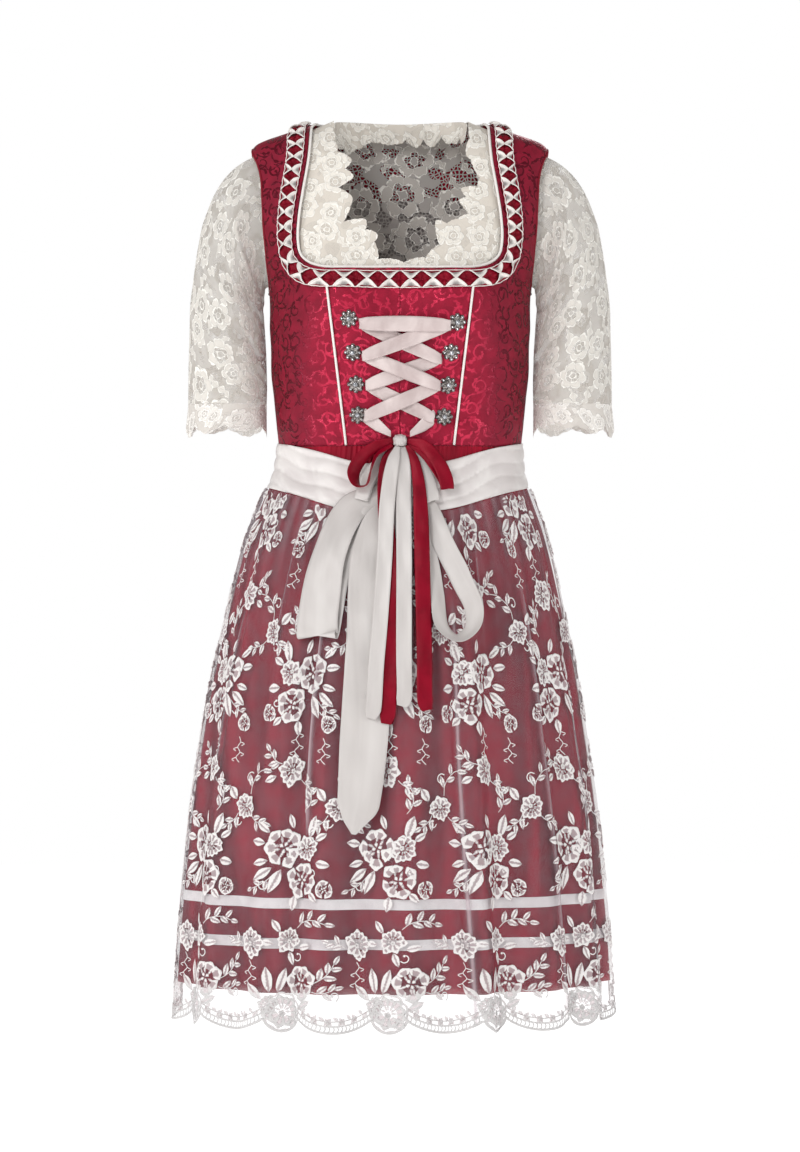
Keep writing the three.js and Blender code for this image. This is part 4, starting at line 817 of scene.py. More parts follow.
def coons(bottom, top, start, end, columns, rows):  # fills four edges and lays every point on the form
    gap = form["seamGap"] / 2
    tall = 2 * np.linalg.norm(start(0.5) - start(0.0))
    v = lerp(gap / tall, 1 - gap / tall, np.linspace(0, 1, rows + 1))[:, None]
    left, right = start(v[:, 0])[:, None], end(v[:, 0])[:, None]
    wide = np.maximum(6, np.linalg.norm(left - right, axis=-1))
    s = lerp(gap / wide, 1 - gap / wide, np.linspace(0, 1, columns + 1)[None])
    a, b = s[..., None], v[..., None]
    p = left * (1 - a) + right * a + bottom(s) * (1 - b) + top(s) * b
    p = p - start(0.0) * (1 - a) * (1 - b) - end(0.0) * a * (1 - b) - start(1.0) * (1 - a) * b - end(1.0) * a * b
    return settle(p)


princessTurn = turnOf(onFront(bodice["princessBottom"], waistSeam))
backTurn = turnOf(backSeam(0.0))
backTop = joined(4 / 7, lambda t: neckBack(1 - t), ridge)
backSide = joined(0.5, backSeam, lambda t: dressHole(lerp(bodice["backSeamTurn"], 1, t)))
panels = {
    "Front": coons(lambda s: onFront(bodice["princessBottom"] * s, waistSeam + 0 * s), lambda s: neckFront(neckBreak * s),
                   lambda t: onFront(0 * t, lerp(waistSeam, form["neckFloor"], t)), princessSeam, 22, 60),
    "FrontSide": coons(lambda s: waistAt(lerp(princessTurn, 90, s)), ridge,
                       joined(0.5, princessSeam, lambda t: neckFront(lerp(neckBreak, 1, t**1.25))),
                       joined(0.5, sideSeam, lambda t: dressHole(0.5 - 0.5 * t)), 30, 110),
    "BackSide": coons(lambda s: waistAt(lerp(backTurn, 90, s)), lambda s: dressHole(lerp(bodice["backSeamTurn"], 0.5, s)),
                      backSeam, sideSeam, 24, 56),
}
backPanel = coons(lambda s: onBack(lerp(-58, 58, s), waistSeam + 0 * s),
                  lambda s: np.where((s < 0.5)[..., None], mirror(backTop(np.abs(1 - 2 * s))), backTop(np.abs(2 * s - 1))),
                  lambda t: mirror(backSide(t)), backSide, 84, 110)
nodeNames = {"Front": "bodice_front_", "FrontSide": "bodice_front_side_", "BackSide": "bodice_back_side_"}
wallOf = {"thick": bodice["wall"], "inner": 1}
bodiceLooks = [looks["brocade"], looks["lining"]]


def dress(points):
    return points + formNormal(points) * creased(points)[..., None]


for side, word in ((1, "left"), (-1, "right")):
    for name, points in panels.items():
        clothPiece(f"bodice{name}{word.title()}", mirror(dress(points), side), bodiceLooks,
                   [nodeNames[name] + word], wallOf)
backPiece = clothPiece("bodiceBack", dress(backPanel), bodiceLooks + [looks["brocade"], looks["skirt"]],
                       ["bodice_back"], wallOf)
for face in backPiece.data.polygons:  # the grey lining ends below the shoulders, and crimson shows inside above it
    face.material_index = 2 if face.center.z > bodice["liningTop"] * 0.001 else 0
print("bodice made")


def aheadOf(points, ring):
    ahead = np.roll(points, -1, axis=0) - np.roll(points, 1, axis=0)
    if not ring:
        ahead[0], ahead[-1] = points[1] - points[0], points[-1] - points[-2]
    return ahead


def tubeGrid(path, radius, ring, sides, up):
    ahead = unit(aheadOf(path, ring))
    up = formNormal(path) if up is None else up
    up = unit(up - ahead * dot(up, ahead))
    side = np.cross(ahead, up)
    turn = np.linspace(0, 2 * math.pi, sides + 1)[:, None, None]
    radius = np.asarray(radius, float).reshape(1, -1, 1)
    loops = path[None] + (side[None] * np.cos(turn) + up[None] * np.sin(turn)) * radius
    loops = loops.transpose(1, 0, 2)
    return np.concatenate([loops, loops[:1]]) if ring else loops


def addTube(work, path, radius, look=0, ring=False, sides=8, up=None):
    points = tubeGrid(path, radius, ring, sides, up)
    around = np.linspace(0, 6.283 * np.max(radius), sides + 1)[None]
    flat = np.stack(np.broadcast_arrays(around, milesOf(points[:, 0])[:, None]), axis=-1)
    verts = addGrid(work, points, flat, look)
    bmesh.ops.remove_doubles(work, verts=verts, dist=2e-6)


def edgePath(points, away, lift, ring=False):
    across = unit(np.cross(formNormal(points), aheadOf(points, ring)))
    return settle(points + across * away, lift)


shares = np.linspace(0, 1, 91)
halfNeck = np.vstack([neckFront(shares), neckBack(shares[1:])])
neckRing = np.vstack([halfNeck, mirror(halfNeck[1:-1][::-1])])
holeRing = dressHole(np.linspace(0, 1, 121)[:-1])
reach = bodice["piping"] + form["seamGap"]


def tubePiece(name, path, radius, look, node, ring=False):
    work = bmesh.new()
    addTube(work, path, radius, 0, ring)
    bmesh.ops.holes_fill(work, edges=[edge for edge in work.edges if edge.is_boundary])
    return makePiece(name, work, [look], [node])


tubePiece("neckPiping", edgePath(neckRing, reach, -0.8, True), bodice["piping"], looks["piping"],
          "neck_piping", True)
for side, word in ((1, "left"), (-1, "right")):
    path = edgePath(mirror(holeRing, side), side * reach, -0.8, True)
    tubePiece(f"armholePiping{word.title()}", path, bodice["piping"], looks["redPiping"],
              f"armhole_piping_{word}", True)
    edge = mirror(princessSeam(np.linspace(0.004, 0.9, 60)), side)
    tubePiece(f"princessPiping{word.title()}", edgePath(edge, 0, 1.5), 1.5, looks["piping"],
              f"princess_piping_{word}")
print("pipings made")

# ---- trim round the neck: a crimson strip pinched into white shells ----
trim = {"strip": 4.5, "width": 20, "pitchBottom": 25.7, "pitchStrap": 17.4}
neckWalk = np.vstack([neckFront(np.linspace(0, 1, 301)), neckBack(np.linspace(0, 1, 301))[1:]])
neckMiles = milesOf(neckWalk)
ridgeMile = neckMiles[300]


def neckAt(mile):
    return np.stack([np.interp(mile, neckMiles, neckWalk[:, k]) for k in range(3)], axis=-1)


def besideNeck(mile, away, lift):
    m = np.abs(mile)
    p = neckAt(m)
    along = neckAt(m + 3) - neckAt(np.maximum(0, m - 3))
    q = settle(p + unit(np.cross(along, formNormal(p))) * np.asarray(away, float)[..., None], lift)
    return q * vec(np.where(mile < 0, -1.0, 1.0), 1.0, 1.0)


def makeTrim():
    ends = [trim["pitchBottom"] / 2]
    while ends[-1] < ridgeMile - 12:
        ends.append(ends[-1] + lerp(trim["pitchBottom"], trim["pitchStrap"], float(ramp(ends[-1], 80, 110))))
    pinches = sorted([-end for end in ends] + ends)
    gaps = np.diff(pinches)
    last = pinches[-1] + 6
    work = bmesh.new()
    width, middle = trim["width"], trim["strip"] + trim["width"] / 2
    miles, w = np.meshgrid(np.linspace(-last, last, 620), np.linspace(-1, 1, 13))
    order = np.searchsorted(pinches, miles).clip(1, len(pinches) - 1)
    share = (miles - np.array(pinches)[order - 1]) / gaps[order - 1]  # from one pinch to the next
    puff = np.sin(math.pi * np.clip(share, 0, 1)) ** 0.8
    star = 0.5 * np.sin(5 * np.arctan2(w, 2 * share - 1.0) + order)
    pit = np.exp(-((w / 0.34) ** 2 + ((share - 0.5) / 0.2) ** 2) * (1 + 0.8 * star))
    lift = 0.9 + 4.4 * puff * np.sqrt(np.clip(1 - w**2, 0, 1)) * (1 + 0.45 * star) - 4.8 * pit
    addGrid(work, besideNeck(miles, middle + w * width / 2, lift), look=1)
    for k, mile in enumerate(pinches):
        reachTo = 0.43 * (gaps[min(k, len(gaps) - 1)] + gaps[max(k - 1, 0)]) / 2
        for edge in (-1, 1):
            a, b = np.meshgrid(np.linspace(-1, 1, 13), np.linspace(0, 1, 9))
            rim = np.abs(a) ** 1.6
            s = mile + a * reachTo * (0.08 + 0.92 * b**0.8) + 0.5 * math.sin(2.3 * k + edge) * b
            across = middle + edge * (0.3 + (width / 2 - 0.3) * b * (1 - 0.22 * (1 - a**2) * b))
            height = 4.4 - b**4 + 2.2 * np.sin(2.9 * b) * rim - 1.8 * b**1.3 * (1 - rim)
            height = height + 0.5 * np.sin(7 * a + k) * b * (1 - rim)
            flat = np.stack([a * 8.0, b * 8.0], axis=-1)
            addGrid(work, besideNeck(s, across, height), flat, look=0)
        for turn in (-1, 1):
            t = np.linspace(-1, 1, 15)
            s = mile + np.sign(t) * np.abs(t) ** 0.8 * reachTo * turn * (0.92 + 0.08 * np.abs(t))
            s = s + 0.6 * np.sin(2.1 * k + 3 * t + turn) * (1 - t**2)
            path = besideNeck(s, middle + t * width / 2 * 0.96, 5.0 + 1.9 * np.sin(2.9 * np.abs(t)) - 1.2 * t**4)
            addTube(work, path, 0.6 + 0.15 * np.abs(t), 2, sides=5)
    for edge in (-1, 1):
        t = np.linspace(-last, last, 560)
        wave = 0.35 * np.sin(t * 0.7)
        addTube(work, besideNeck(t, middle + edge * (width / 2 - 0.1) + wave * 0.6, 3.4 + wave), 0.55, 2, sides=5)
    trimLooks = [looks["shell"], looks["ribbonRed"], looks["piping"]]
    makePiece("neckTrim", work, trimLooks, ["neck_trim"])


makeTrim()
print("trim made")

# ---- skirt ----
skirt = {"gathers": [(128, 0.9, -389, -470), (66, 1.5, -430, -620), (38, 1.6, -480, -900)], "hemFold": 24}


def gathers(degrees, z):
    out, turn = 0, np.radians(degrees)
    for count, deep, top, bottom in skirt["gathers"]:
        phase = turn * count + 1.7 * np.sin(turn * 7 + count) + 0.9 * np.sin(turn * 17)
        middle = lerp(top, bottom, 0.35)
        swell = ramp(z, bottom, middle) * (1 if top > -395 else ramp(-z, -top - 10, -middle))
        out = out + deep * swell * (np.sin(phase) - 0.35) * (0.7 + 0.3 * np.sin(turn * 5 + count))
    return out


def skirtPiece(name, start, end, node):
    t = np.linspace(0, 1, 93) ** 1.15
    heights = lerp(waistSeam - form["seamGap"], form["hem"], t)
    inside = form["hem"] + np.array([0.6, 8, 16, skirt["hemFold"]])
    degrees, z = np.meshgrid(np.linspace(start, end, 541), np.concatenate([heights, inside]))
    lift = gathers(degrees, z) - np.concatenate([0 * heights, 0 * inside + 1.2])[:, None]
    clothPiece(name, onSkirt(degrees, z, lift), [looks["skirt"]], [node], None)


skirtPiece("skirtFront", -90, 90, "skirt_front")
skirtPiece("skirtBack", -270, -90, "skirt_back")
for name, z, node in (("bandUpper", -920, "band_upper"), ("bandLower", -966, "band_lower")):
    degrees, heights = np.meshgrid(np.linspace(-90, 270, 1001), np.linspace(z + 6, z - 6, 5))
    puff = 0.5 * (1 - ((heights - z) / 6) ** 4)
    clothPiece(name, onSkirt(degrees, heights, gathers(degrees, heights) + 0.5 + puff), [looks["band"]],
               [node], None, ring=True)
print("skirt made")

# ---- apron ----
apron = {"from": -97.0, "to": 86.5, "lift": 3.2, "repeat": 134.0, "wide": 92.0, "first": 36.0, "drop": 16.0}
# narrow standing folds of the sheer cloth: angle, height, half width in degrees, upper and lower end
apronFolds = table("at rise wide top low", (-29, 5.5, 0.7, -500, -860), (24.5, 6.0, 0.8, -560, -1100),
                   (-63, 2.4, 0.8, -560, -800), (55, 2.8, 0.8, -520, -1100), (70, 2.2, 0.7, -640, -900),
                   (-8, 1.4, 0.8, -700, -880), (-84, 2.0, 0.9, -600, -1000), (38, 2.4, 0.5, -470, -640),
                   (-46, 2.6, 0.5, -460, -640), (8, 2.0, 0.6, -520, -700), (-72, 2.2, 0.5, -460, -600))


sash = {"top": -380, "topDip": 31, "bottom": -434, "bottomDip": 34}


def dipAt(degrees):  # how far the sash dips in front, from 0 to 1
    return 1 / (1 + (np.mod(degrees + 180, 360) / 50 - 3.6) ** 4)


def sashTop(degrees):
    return sash["top"] - sash["topDip"] * dipAt(degrees)


def sashBottom(degrees):
    return sash["bottom"] - sash["bottomDip"] * dipAt(degrees)


apronTurns = np.linspace(apron["from"], apron["to"], 2001)
apronLine = skirtSkin(apronTurns, np.full(2001, form["apronHem"]))
apronMiles = milesOf(apronLine)
apronWide = apronMiles[-1]


def scallopAt(mile):
    m = np.mod(mile - apron["first"], apron["repeat"])
    wide = m < apron["wide"]
    share = np.where(wide, m / apron["wide"], (m - apron["wide"]) / (apron["repeat"] - apron["wide"]))
    return np.sin(math.pi * share) ** np.where(wide, 0.7, 0.5)


def standing(degrees, z):  # how far the narrow folds stand out, and how closely the cloth lies together there
    rises, dense = 0, 0
    for at, rise, wide, top, low in zip(*apronFolds.values()):
        shift = 1.2 * np.sin((z - top) / 130)
        near = np.exp(-((degrees - at - shift) / wide) ** 2) * ramp(-z, -top, -top + 60) * ramp(z, low, low + 60)
        rises, dense = rises + rise * near, dense + near * min(1, rise / 5)
    return rises, dense


def onApron(mile, z, lift=0.0):
    degrees = np.interp(mile, apronMiles, apronTurns)
    fine = np.sin(np.radians(degrees) * 74 + 2 * np.sin(np.radians(degrees) * 9)) * ramp(z, -640, -470)
    return onSkirt(degrees, z, gathers(degrees, z) + apron["lift"] + standing(degrees, z)[0] + 0.8 + 0.8 * fine + lift)


def makeApron():
    u = np.linspace(0, apronWide, 661)[None]
    t = np.linspace(0, 1, 101)[:, None]
    degrees = np.interp(u, apronMiles, apronTurns)
    z = lerp(sashBottom(degrees) - 1.2, form["apronHem"] - apron["drop"] * scallopAt(u), t)
    piece = clothPiece("apronCloth", onApron(u + 0 * z, z), [looks["organza"]], ["apron"], None)
    places = np.array([vert.co for vert in piece.data.vertices]) * 1000
    turns = np.degrees(np.arctan2(places[:, 0] - read(skirtSections, "shift", places[:, 2]), -places[:, 1]))
    # the gathers near the top and the narrow folds get painted pale streaks in the organza's colour, besides denser
    # cloth
    gathered = 0.35 * ramp(places[:, 2], -560, -450) * (0.5 + 0.5 * np.sin(np.radians(turns) * 66))
    dense = np.clip(standing(turns, places[:, 2])[1] + gathered, 0, 1)
    piece.data.attributes.new("dense", "FLOAT", "POINT").data.foreach_set("value", dense)
    # where only the backdrop lies behind the organza it is painted pale; over the skirt it is painted darker, as
    # painted shade
    pale = np.maximum(ramp(np.abs(turns + 2.5), 78, 88), ramp(-places[:, 2], 1015, 1024))
    piece.data.attributes.new("pale", "FLOAT", "POINT").data.foreach_set("value", pale)


makeApron()
print("apron made")

# ---- sash: a folded band round the waist ----
def makeSash():
    t, degrees = np.meshgrid(np.linspace(1, 0, 33), np.linspace(-90, 270, 521), indexing="ij")
    radians = np.radians(degrees)
    run = 3.4 * t + 0.34 * np.sin(2 * radians + 1) + 0.22 * np.sin(5 * radians) + 0.12 * np.sin(11 * radians)
    pleat = np.abs(np.sin(math.pi * run)) ** 0.5 - 0.35 * np.mod(run, 1)
    near = np.exp(-((np.mod(degrees + 180, 360) - 180) / 16) ** 2)
    lift = 2.0 + 0.6 * (1 - t) + 2.6 * pleat * (0.5 + 0.5 * np.abs(np.sin(2 * radians + 0.6)) + 0.3 * near)
    lift = lift + 0.5 * np.sin(23 * radians + 7 * t) * (0.3 + near) - 1.2 * (np.abs(2 * t - 1) ** 12)
    z = lerp(sashBottom(degrees), sashTop(degrees), t)
    return clothPiece("sashBand", onSkirt(degrees, z, lift, 0), [looks["sash"]], ["sash_band"],
                      {"thick": 0.5}, ring=True)


makeSash()

# ---- ribbons in front: each row has a place, a lift and a width; lean turns them from level, tip tips them out ----
leaning, tipping = "x z lift width lean", "x z lift width tip"
ribbons = {
    "bow_loop_red_right": ("ribbonRed", tipping, (
        (-8.6, -382.8, 7, 6, 20), (-25, -389, 12, 14, 35), (-42, -407, 18, 16, 30), (-51, -428, 20.5, 17, 40),
        (-47, -443, 21, 15, 60), (-38, -443, 21, 13, 70), (-33, -425, 20, 13, 75), (-25, -402, 15, 11, 60),
        (-9, -387.5, 10.5, 4, 30))),
    "bow_loop_red_left": ("ribbonRed", leaning, (
        (8.6, -382.8, 7, 6, 78), (26, -389, 13, 14, 64), (42, -412, 18.5, 16, 38), (50, -434, 19.8, 17, 24),
        (52, -446, 18.4, 16, 22), (50, -438, 16.6, 15, 24), (38, -416, 15, 12, 38), (25, -400, 12.6, 8, 46),
        (9.2, -389, 9.4, 3, 56))),
    "bow_loop_white_right": ("ribbonWhite", leaning, (
        (-8, -391, 5.6, 6, -50), (-22, -408, 8.4, 13, -40), (-36, -432, 12.4, 17, -30), (-43, -452, 12.6, 17, -15),
        (-44, -456, 11.2, 17, -15), (-42, -451, 10, 17, -15), (-34, -430, 9, 16, -30), (-19, -406, 5.6, 10, -40),
        (-7.5, -392, 3.6, 5, -50))),
    "bow_loop_white_left": ("ribbonWhite", leaning, (
        (8.5, -391, 5.4, 5, 50), (21, -408, 8.6, 13, 40), (32, -435, 13, 17, 25), (36, -454, 14, 17, 20),
        (36.5, -458, 12.8, 17, 20), (35, -453, 11.6, 17, 20), (29, -432, 9.6, 16, 25), (17, -406, 5.8, 9, 40),
        (8, -392.5, 3.4, 5, 50))),
    "bow_tail_white_right": ("ribbonWhite", leaning, (
        (-2.6, -390.2, 10.6, 6, 0), (-7, -408, 17, 14, 0), (-11, -432, 18.5, 17, 2), (-15, -470, 17.8, 18, 2),
        (-17.5, -523, 17, 18, 3), (-22, -590, 16.8, 18, 4), (-27, -650, 16.8, 18, 4), (-30, -697, 16.8, 18, 0),
        (-33, -708, 16.8, 11, -28))),
    "bow_tail_red_right": ("ribbonRed", leaning, (
        (-8.2, -390.6, 8.4, 3.4, 0), (-16, -408, 13.4, 10, 0), (-19, -430, 15.5, 12, 0), (-17, -470, 14.9, 17, 0),
        (-12, -523, 14.2, 18, -1), (-10, -590, 14.2, 18, 0), (-11, -650, 14.2, 18, 2), (-14, -702, 14.2, 18, 2),
        (-16, -714, 14.2, 12, 30))),
    "bow_tail_white_left": ("ribbonWhite", leaning, (
        (3.2, -390.4, 8.2, 6, 0), (4, -408, 14, 14, 0), (4, -432, 16.3, 17, 0), (4, -470, 16.4, 18, 0),
        (4.6, -523, 15.7, 18, 1), (4.4, -590, 15.6, 18, 0), (4.4, -640, 15.6, 18, 0), (4.6, -684, 15.6, 18, 0),
        (2, -694, 15.6, 12, -30))),
    "bow_tail_red_left": ("ribbonRed", leaning, (
        (7.6, -389.4, 11, 3.6, 10), (15, -406, 16, 10, 10), (20, -432, 18.5, 14, 6), (23, -470, 18.4, 17, 0),
        (24.5, -523, 18, 18, 0), (26, -590, 18, 18, 0), (27, -640, 18, 18, 0), (27.6, -688, 18, 18, 0),
        (30, -699, 18, 12, 32))),
    "sash_loop_right": ("ribbonWhite", leaning, (
        (-14.9, -440, 7, 14, -80), (-30, -451, 6.8, 26, -58), (-55, -466, 8, 38, -38), (-78, -515, 13, 40, -16),
        (-88, -566, 15, 47, -6), (-92, -606, 15.6, 50, 0), (-92, -613, 13.4, 51, 0), (-90, -605, 11, 50, 0),
        (-82, -560, 8.4, 46, -6), (-68, -512, 7, 40, -16), (-46, -468, 5.6, 28, -38), (-28, -453, 4.9, 18, -58),
        (-15.4, -446, 5, 8, -86))),
    "sash_loop_left": ("ribbonWhite", tipping, (
        (20.4, -441, 7, 12, 0), (33, -466, 8.6, 22, -8), (48, -507, 15, 26, -30), (67, -550, 18.5, 27, -44),
        (80, -584, 20.5, 27, -52), (78, -607, 21, 26, -62), (63, -617, 20, 25, -62), (47, -602, 16, 24, -46),
        (42, -566, 11, 20, -20), (32, -520, 8.6, 21, -3), (24, -486, 7, 18, 0), (20, -464, 5, 12, 0))),
    "sash_end": ("ribbonWhite", leaning, (
        (-4, -457, 9, 16, 0), (-22, -480, 10.2, 38, -4), (-32, -523, 11, 49, -4), (-36, -627, 11.2, 52, 0),
        (-40, -719, 11.6, 56, 0), (-47, -806, 12, 49, 0), (-50, -822, 12, 33, -8), (-52, -840, 12, 5, -12))),
    "sash_end_behind": ("ribbonWhite", leaning, (
        (-2, -457.5, 6, 14, 0), (-12, -480, 7.4, 26, -4), (-30, -523, 8.2, 40, -4), (-36, -600, 9, 44, 0),
        (-38, -668, 9.4, 44, 0), (-38, -690, 9.4, 30, 10))),
}


def frontNormal(p):
    return unit(before(p[:, 0], p[:, 2], 1.0) - before(p[:, 0], p[:, 2], 0.0))


def acrossOf(along, out, lean, tip):
    level = np.cross(along, out) if lean is None else vec(np.cos(np.radians(lean)), 0, np.sin(np.radians(lean)))
    flat = unit(level - out * dot(level, out))
    tip = np.radians(tip)[:, None]
    flat = flat * np.cos(tip) + out * np.sin(tip)
    return unit(flat - along * dot(flat, along))


def ribbonGrid(centre, across, width, folds=0.6, columns=10, seed=0.0):
    along = unit(np.gradient(centre, axis=0))
    out = np.cross(along, across)
    w = np.linspace(-1, 1, columns + 1)
    miles = milesOf(centre)[:, None]
    wave = 0.5 * np.sin(miles / 17 + 2.2 * w[None] + seed) + 0.35 * np.sin(miles / 9 - 3 * w[None] + 2 * seed)
    cup = np.minimum(0.05 * width[:, None], 0.7) * (w[None] ** 2 - 0.4)
    rise = (folds * wave + cup * np.sign(math.sin(seed * 3 + 1))) * np.minimum(1, width / 10)[:, None]
    spread = across[:, None] * (w[None, :, None] * width[:, None, None] / 2)
    return centre[:, None] + spread + out[:, None] * rise[..., None]


def makeRibbons():
    for order, (node, (look, columns, rows)) in enumerate(ribbons.items()):
        rows = table(columns, *rows)
        count = len(rows["x"])
        t = np.linspace(0, count - 1, 12 * (count - 1) + 1)
        mix = {key: np.interp(t, np.arange(count), value) for key, value in rows.items()}
        wide = spline(np.stack([rows["width"], rows["width"]], 1), t)[:, 0]
        centre = spline(before(rows["x"], rows["z"], rows["lift"]), t)
        along = unit(np.gradient(centre, axis=0))
        across = acrossOf(along, frontNormal(centre), mix.get("lean"), mix.get("tip", 0 * t))
        broad = node.startswith("sash")
        points = ribbonGrid(centre, across, np.minimum(wide, mix["width"] + 1), 1.6 if broad else 0.7,
                            16 if broad else 8, order * 1.7)
        words = node.split("_")
        name = words[0] + "".join(word.title() for word in words[1:])
        clothPiece(name, points, [looks[look]], [node], {"thick": 0.35, "offset": 0},
                   away=(0, 400, -500))


makeRibbons()

# the lacing: up from the knot over the hooks by turns, across the top, and down again
laceTurns = table("x z comes goes", (-10.5, -375, 8, 8), (-39.9, -354, 5, 7.8), (45.3, -318, 5, 7.8),
                  (-42.3, -283, 5, 7.8), (58, -248, 5, 8.6), (-46.6, -246.6, 4.4, 1.6), (47, -287, 4.4, 1.6),
                  (-38.8, -318, 4.4, 1.6), (38.8, -356, 4.4, 1.6), (11.5, -375, 8, 8))


def makeLacing():
    x, z, comes, goes = laceTurns.values()
    centres, acrosses, widths = [], [], []
    s = np.linspace(0, 1, 15)
    for k in range(9):
        dx, dz = x[k + 1] - x[k], z[k + 1] - z[k]
        rise = s**3 if k == 4 else ramp(s, 0, 1)
        centre = before(lerp(x[k], x[k + 1], s), lerp(z[k], z[k + 1], s), lerp(goes[k], comes[k + 1], rise))
        lean = np.full(15, 90 + math.degrees(math.atan(dz / dx)))
        along = vec(np.full(15, np.sign(dx)), 0, 0)
        across = acrossOf(along, frontNormal(centre), lean, 0 * s)
        knotted = s if k == 0 else 1 - s if k == 8 else 1 + 0 * s
        narrow = 0.66 + 0.34 * np.sin(math.pi * s) ** 0.45
        centres.append(centre), acrosses.append(across)
        widths.append(lerp(7, 18.4, np.minimum(1, 1.6 * knotted)) * (narrow if k not in (0, 8) else 1))
        if k < 8:
            turn = before(x[k + 1] + 1.4 * np.sign(x[k + 1]), z[k + 1], (comes[k + 1] + goes[k + 1]) / 2)
            centres.append(turn[None]), widths.append([12.5])
            acrosses.append(unit(vec(0, 0, 1) - frontNormal(turn[None]) * frontNormal(turn[None])[:, 2:]))
    points = ribbonGrid(np.vstack(centres), np.vstack(acrosses), np.concatenate(widths), 0.9, 8, 0.4)
    clothPiece("lacingRibbon", points, [looks["lacing"]], ["lacing"], {"thick": 0.3, "offset": 0},
               away=(0, 400, -300))


makeLacing()


def makeKnot(name, node, x, z, wide, tall, low, high):
    turn, t = np.meshgrid(np.linspace(0, 2 * math.pi, 49), np.linspace(0, 1, 17))
    share = np.sin(math.pi * lerp(0.28, 1, t)) ** 0.45
    lift = low + (high - low) * (1 - np.cos(math.pi * lerp(0.1, 1, t))) / 2
    pleat = 1 + 0.05 * np.sin(9 * turn + 2 * t) * np.sin(math.pi * t)
    flatX, flatZ = (np.sign(wave) * np.abs(wave) ** 0.7 for wave in (np.cos(turn), np.sin(turn)))
    fold = -1.5 * np.abs(np.sin(7 * share * flatX + 1.1 * share * flatZ + 0.6)) ** 3 * np.sin(math.pi * t) ** 0.5
    points = before(x + share * pleat * wide * flatX, z + share * pleat * tall * flatZ, lift + fold * (t > 0.3))
    work = bmesh.new()
    addGrid(work, points[::-1])
    bmesh.ops.remove_doubles(work, verts=work.verts, dist=1e-5)
    bmesh.ops.holes_fill(work, edges=[edge for edge in work.edges if edge.is_boundary])
    bmesh.ops.recalc_face_normals(work, faces=work.faces)
    makePiece(name, work, [looks["ribbonWhite"]], [node])


makeKnot("bowKnot", "bow_knot", 0, -383, 8, 7.5, 0.4, 14)
makeKnot("sashKnot", "sash_knot", 2, -441, 14, 14, 4.1, 14)
print("ribbons made")

# ---- hooks: silver rosettes with a crystal and eight beads ----
hooks = {"petal": 10.6,
         "places": {"right_1": (-59.9, -241), "right_2": (-55.2, -280), "right_3": (-51.7, -317), "right_4": (-49.3, -353),
                    "left_1": (67, -245), "left_2": (59.9, -280), "left_3": (56.4, -318), "left_4": (51.7, -355)}}


def makeHook(name, x, z):
    middle = onFront(np.array([x]), np.array([z]))[0]
    out = formNormal(middle)
    east = unit(np.array([1.0, 0, 0]) - out * out[0])
    north = np.cross(out, east)

    def spot(u, v, lift):
        flat = middle + east * u[..., None] + north * v[..., None]
        return settle(flat, 0.0) + out * lift[..., None]
    work = bmesh.new()
    turn, share = np.meshgrid(np.linspace(0, 2 * math.pi, 65), np.linspace(0, 1, 8))
    lobe = np.abs(np.cos(4 * turn)) ** 0.55
    reach = hooks["petal"] * lerp(1, 0.74 + 0.26 * lobe, share ** 0.5) * share
    dome = 0.6 + 3.0 * (1 - share**2.2) + 1.3 * lobe * np.sin(math.pi * share) - 0.8 * np.exp(-((share - 0.42) / 0.1) ** 2)
    verts = addGrid(work, spot(reach * np.cos(turn), reach * np.sin(turn), np.maximum(0.3, dome)), look=0)
    bmesh.ops.remove_doubles(work, verts=verts, dist=1e-5)
    for k in range(9):
        away, size = (8.1, 1.25) if k < 8 else (0, 2.9)
        angle = math.pi / 4 * k
        centre = middle + out * (3.2 if k < 8 else 4.6) + (east * math.cos(angle) + north * math.sin(angle)) * away
        ball = bmesh.ops.create_icosphere(work, subdivisions=2 if k == 8 else 1, radius=size * 0.001)["verts"]
        bmesh.ops.scale(work, verts=ball, vec=(1, 0.72, 1))
        bmesh.ops.translate(work, verts=ball, vec=centre * 0.001)
        for face in {face for vert in ball for face in vert.link_faces}:
            face.material_index = 1
            face.smooth = False
        t = np.linspace(0, 2 * math.pi, 15)[:-1]
        rim = centre - out * 0.6 + (east * np.cos(t)[:, None] + north * np.sin(t)[:, None]) * (size + 0.25)
        addTube(work, rim, 0.42, 0, True, 5, up=np.tile(out, (14, 1)))
    makePiece(f"hook{name.title().replace('_', '')}", work, [looks["silver"], looks["crystal"]],
              [f"hook_{name}"])


for name, (x, z) in hooks["places"].items():
    makeHook(name, x, z)
print("hooks made")

# ---- blouse ----
blouse = {"neck": -5.4, "edge": -7.2, "hem": -262, "head": {"tall": 81, "front": 32, "back": 41},
          "cuff": {"x": 207, "z": -337, "half": 47, "depth": 56}, "cuffDeep": 26, "cuffDrop": 12, "cuffPoints": 7}
leafEdge = table("x z", (-82, 8), (-81, -8), (-79, -22), (-75.3, -35.9), (-57.7, -46.5), (-67, -58), (-55.3, -67.7),
                 (-76.5, -80.6), (-56.5, -93.5), (-68.3, -124), (-41.2, -120), (-42, -133), (-27, -138.3), (-31, -147),
                 (-25.9, -168.9), (1.2, -171), (3.5, -177), (8.8, -171), (30.6, -167), (47, -151), (42.4, -121.8),
                 (56, -126), (69.4, -119.5), (84.7, -113.6), (70.6, -97), (81.8, -93.6), (73, -82), (94.2, -80.6),
                 (96, -68.8), (84.7, -45.3), (79, -38), (84, -18), (83, 8))


def blouseHole(turn):
    return armholePoint(turn, blouse["head"])


def blouseSeam(t):
    return onSide(0 * np.asarray(t, float), lerp(blouse["hem"], -198.0, t))


def blouseRise(v):
    return lerp(blouse["neck"], blouse["edge"], np.minimum(1, 2 * v))


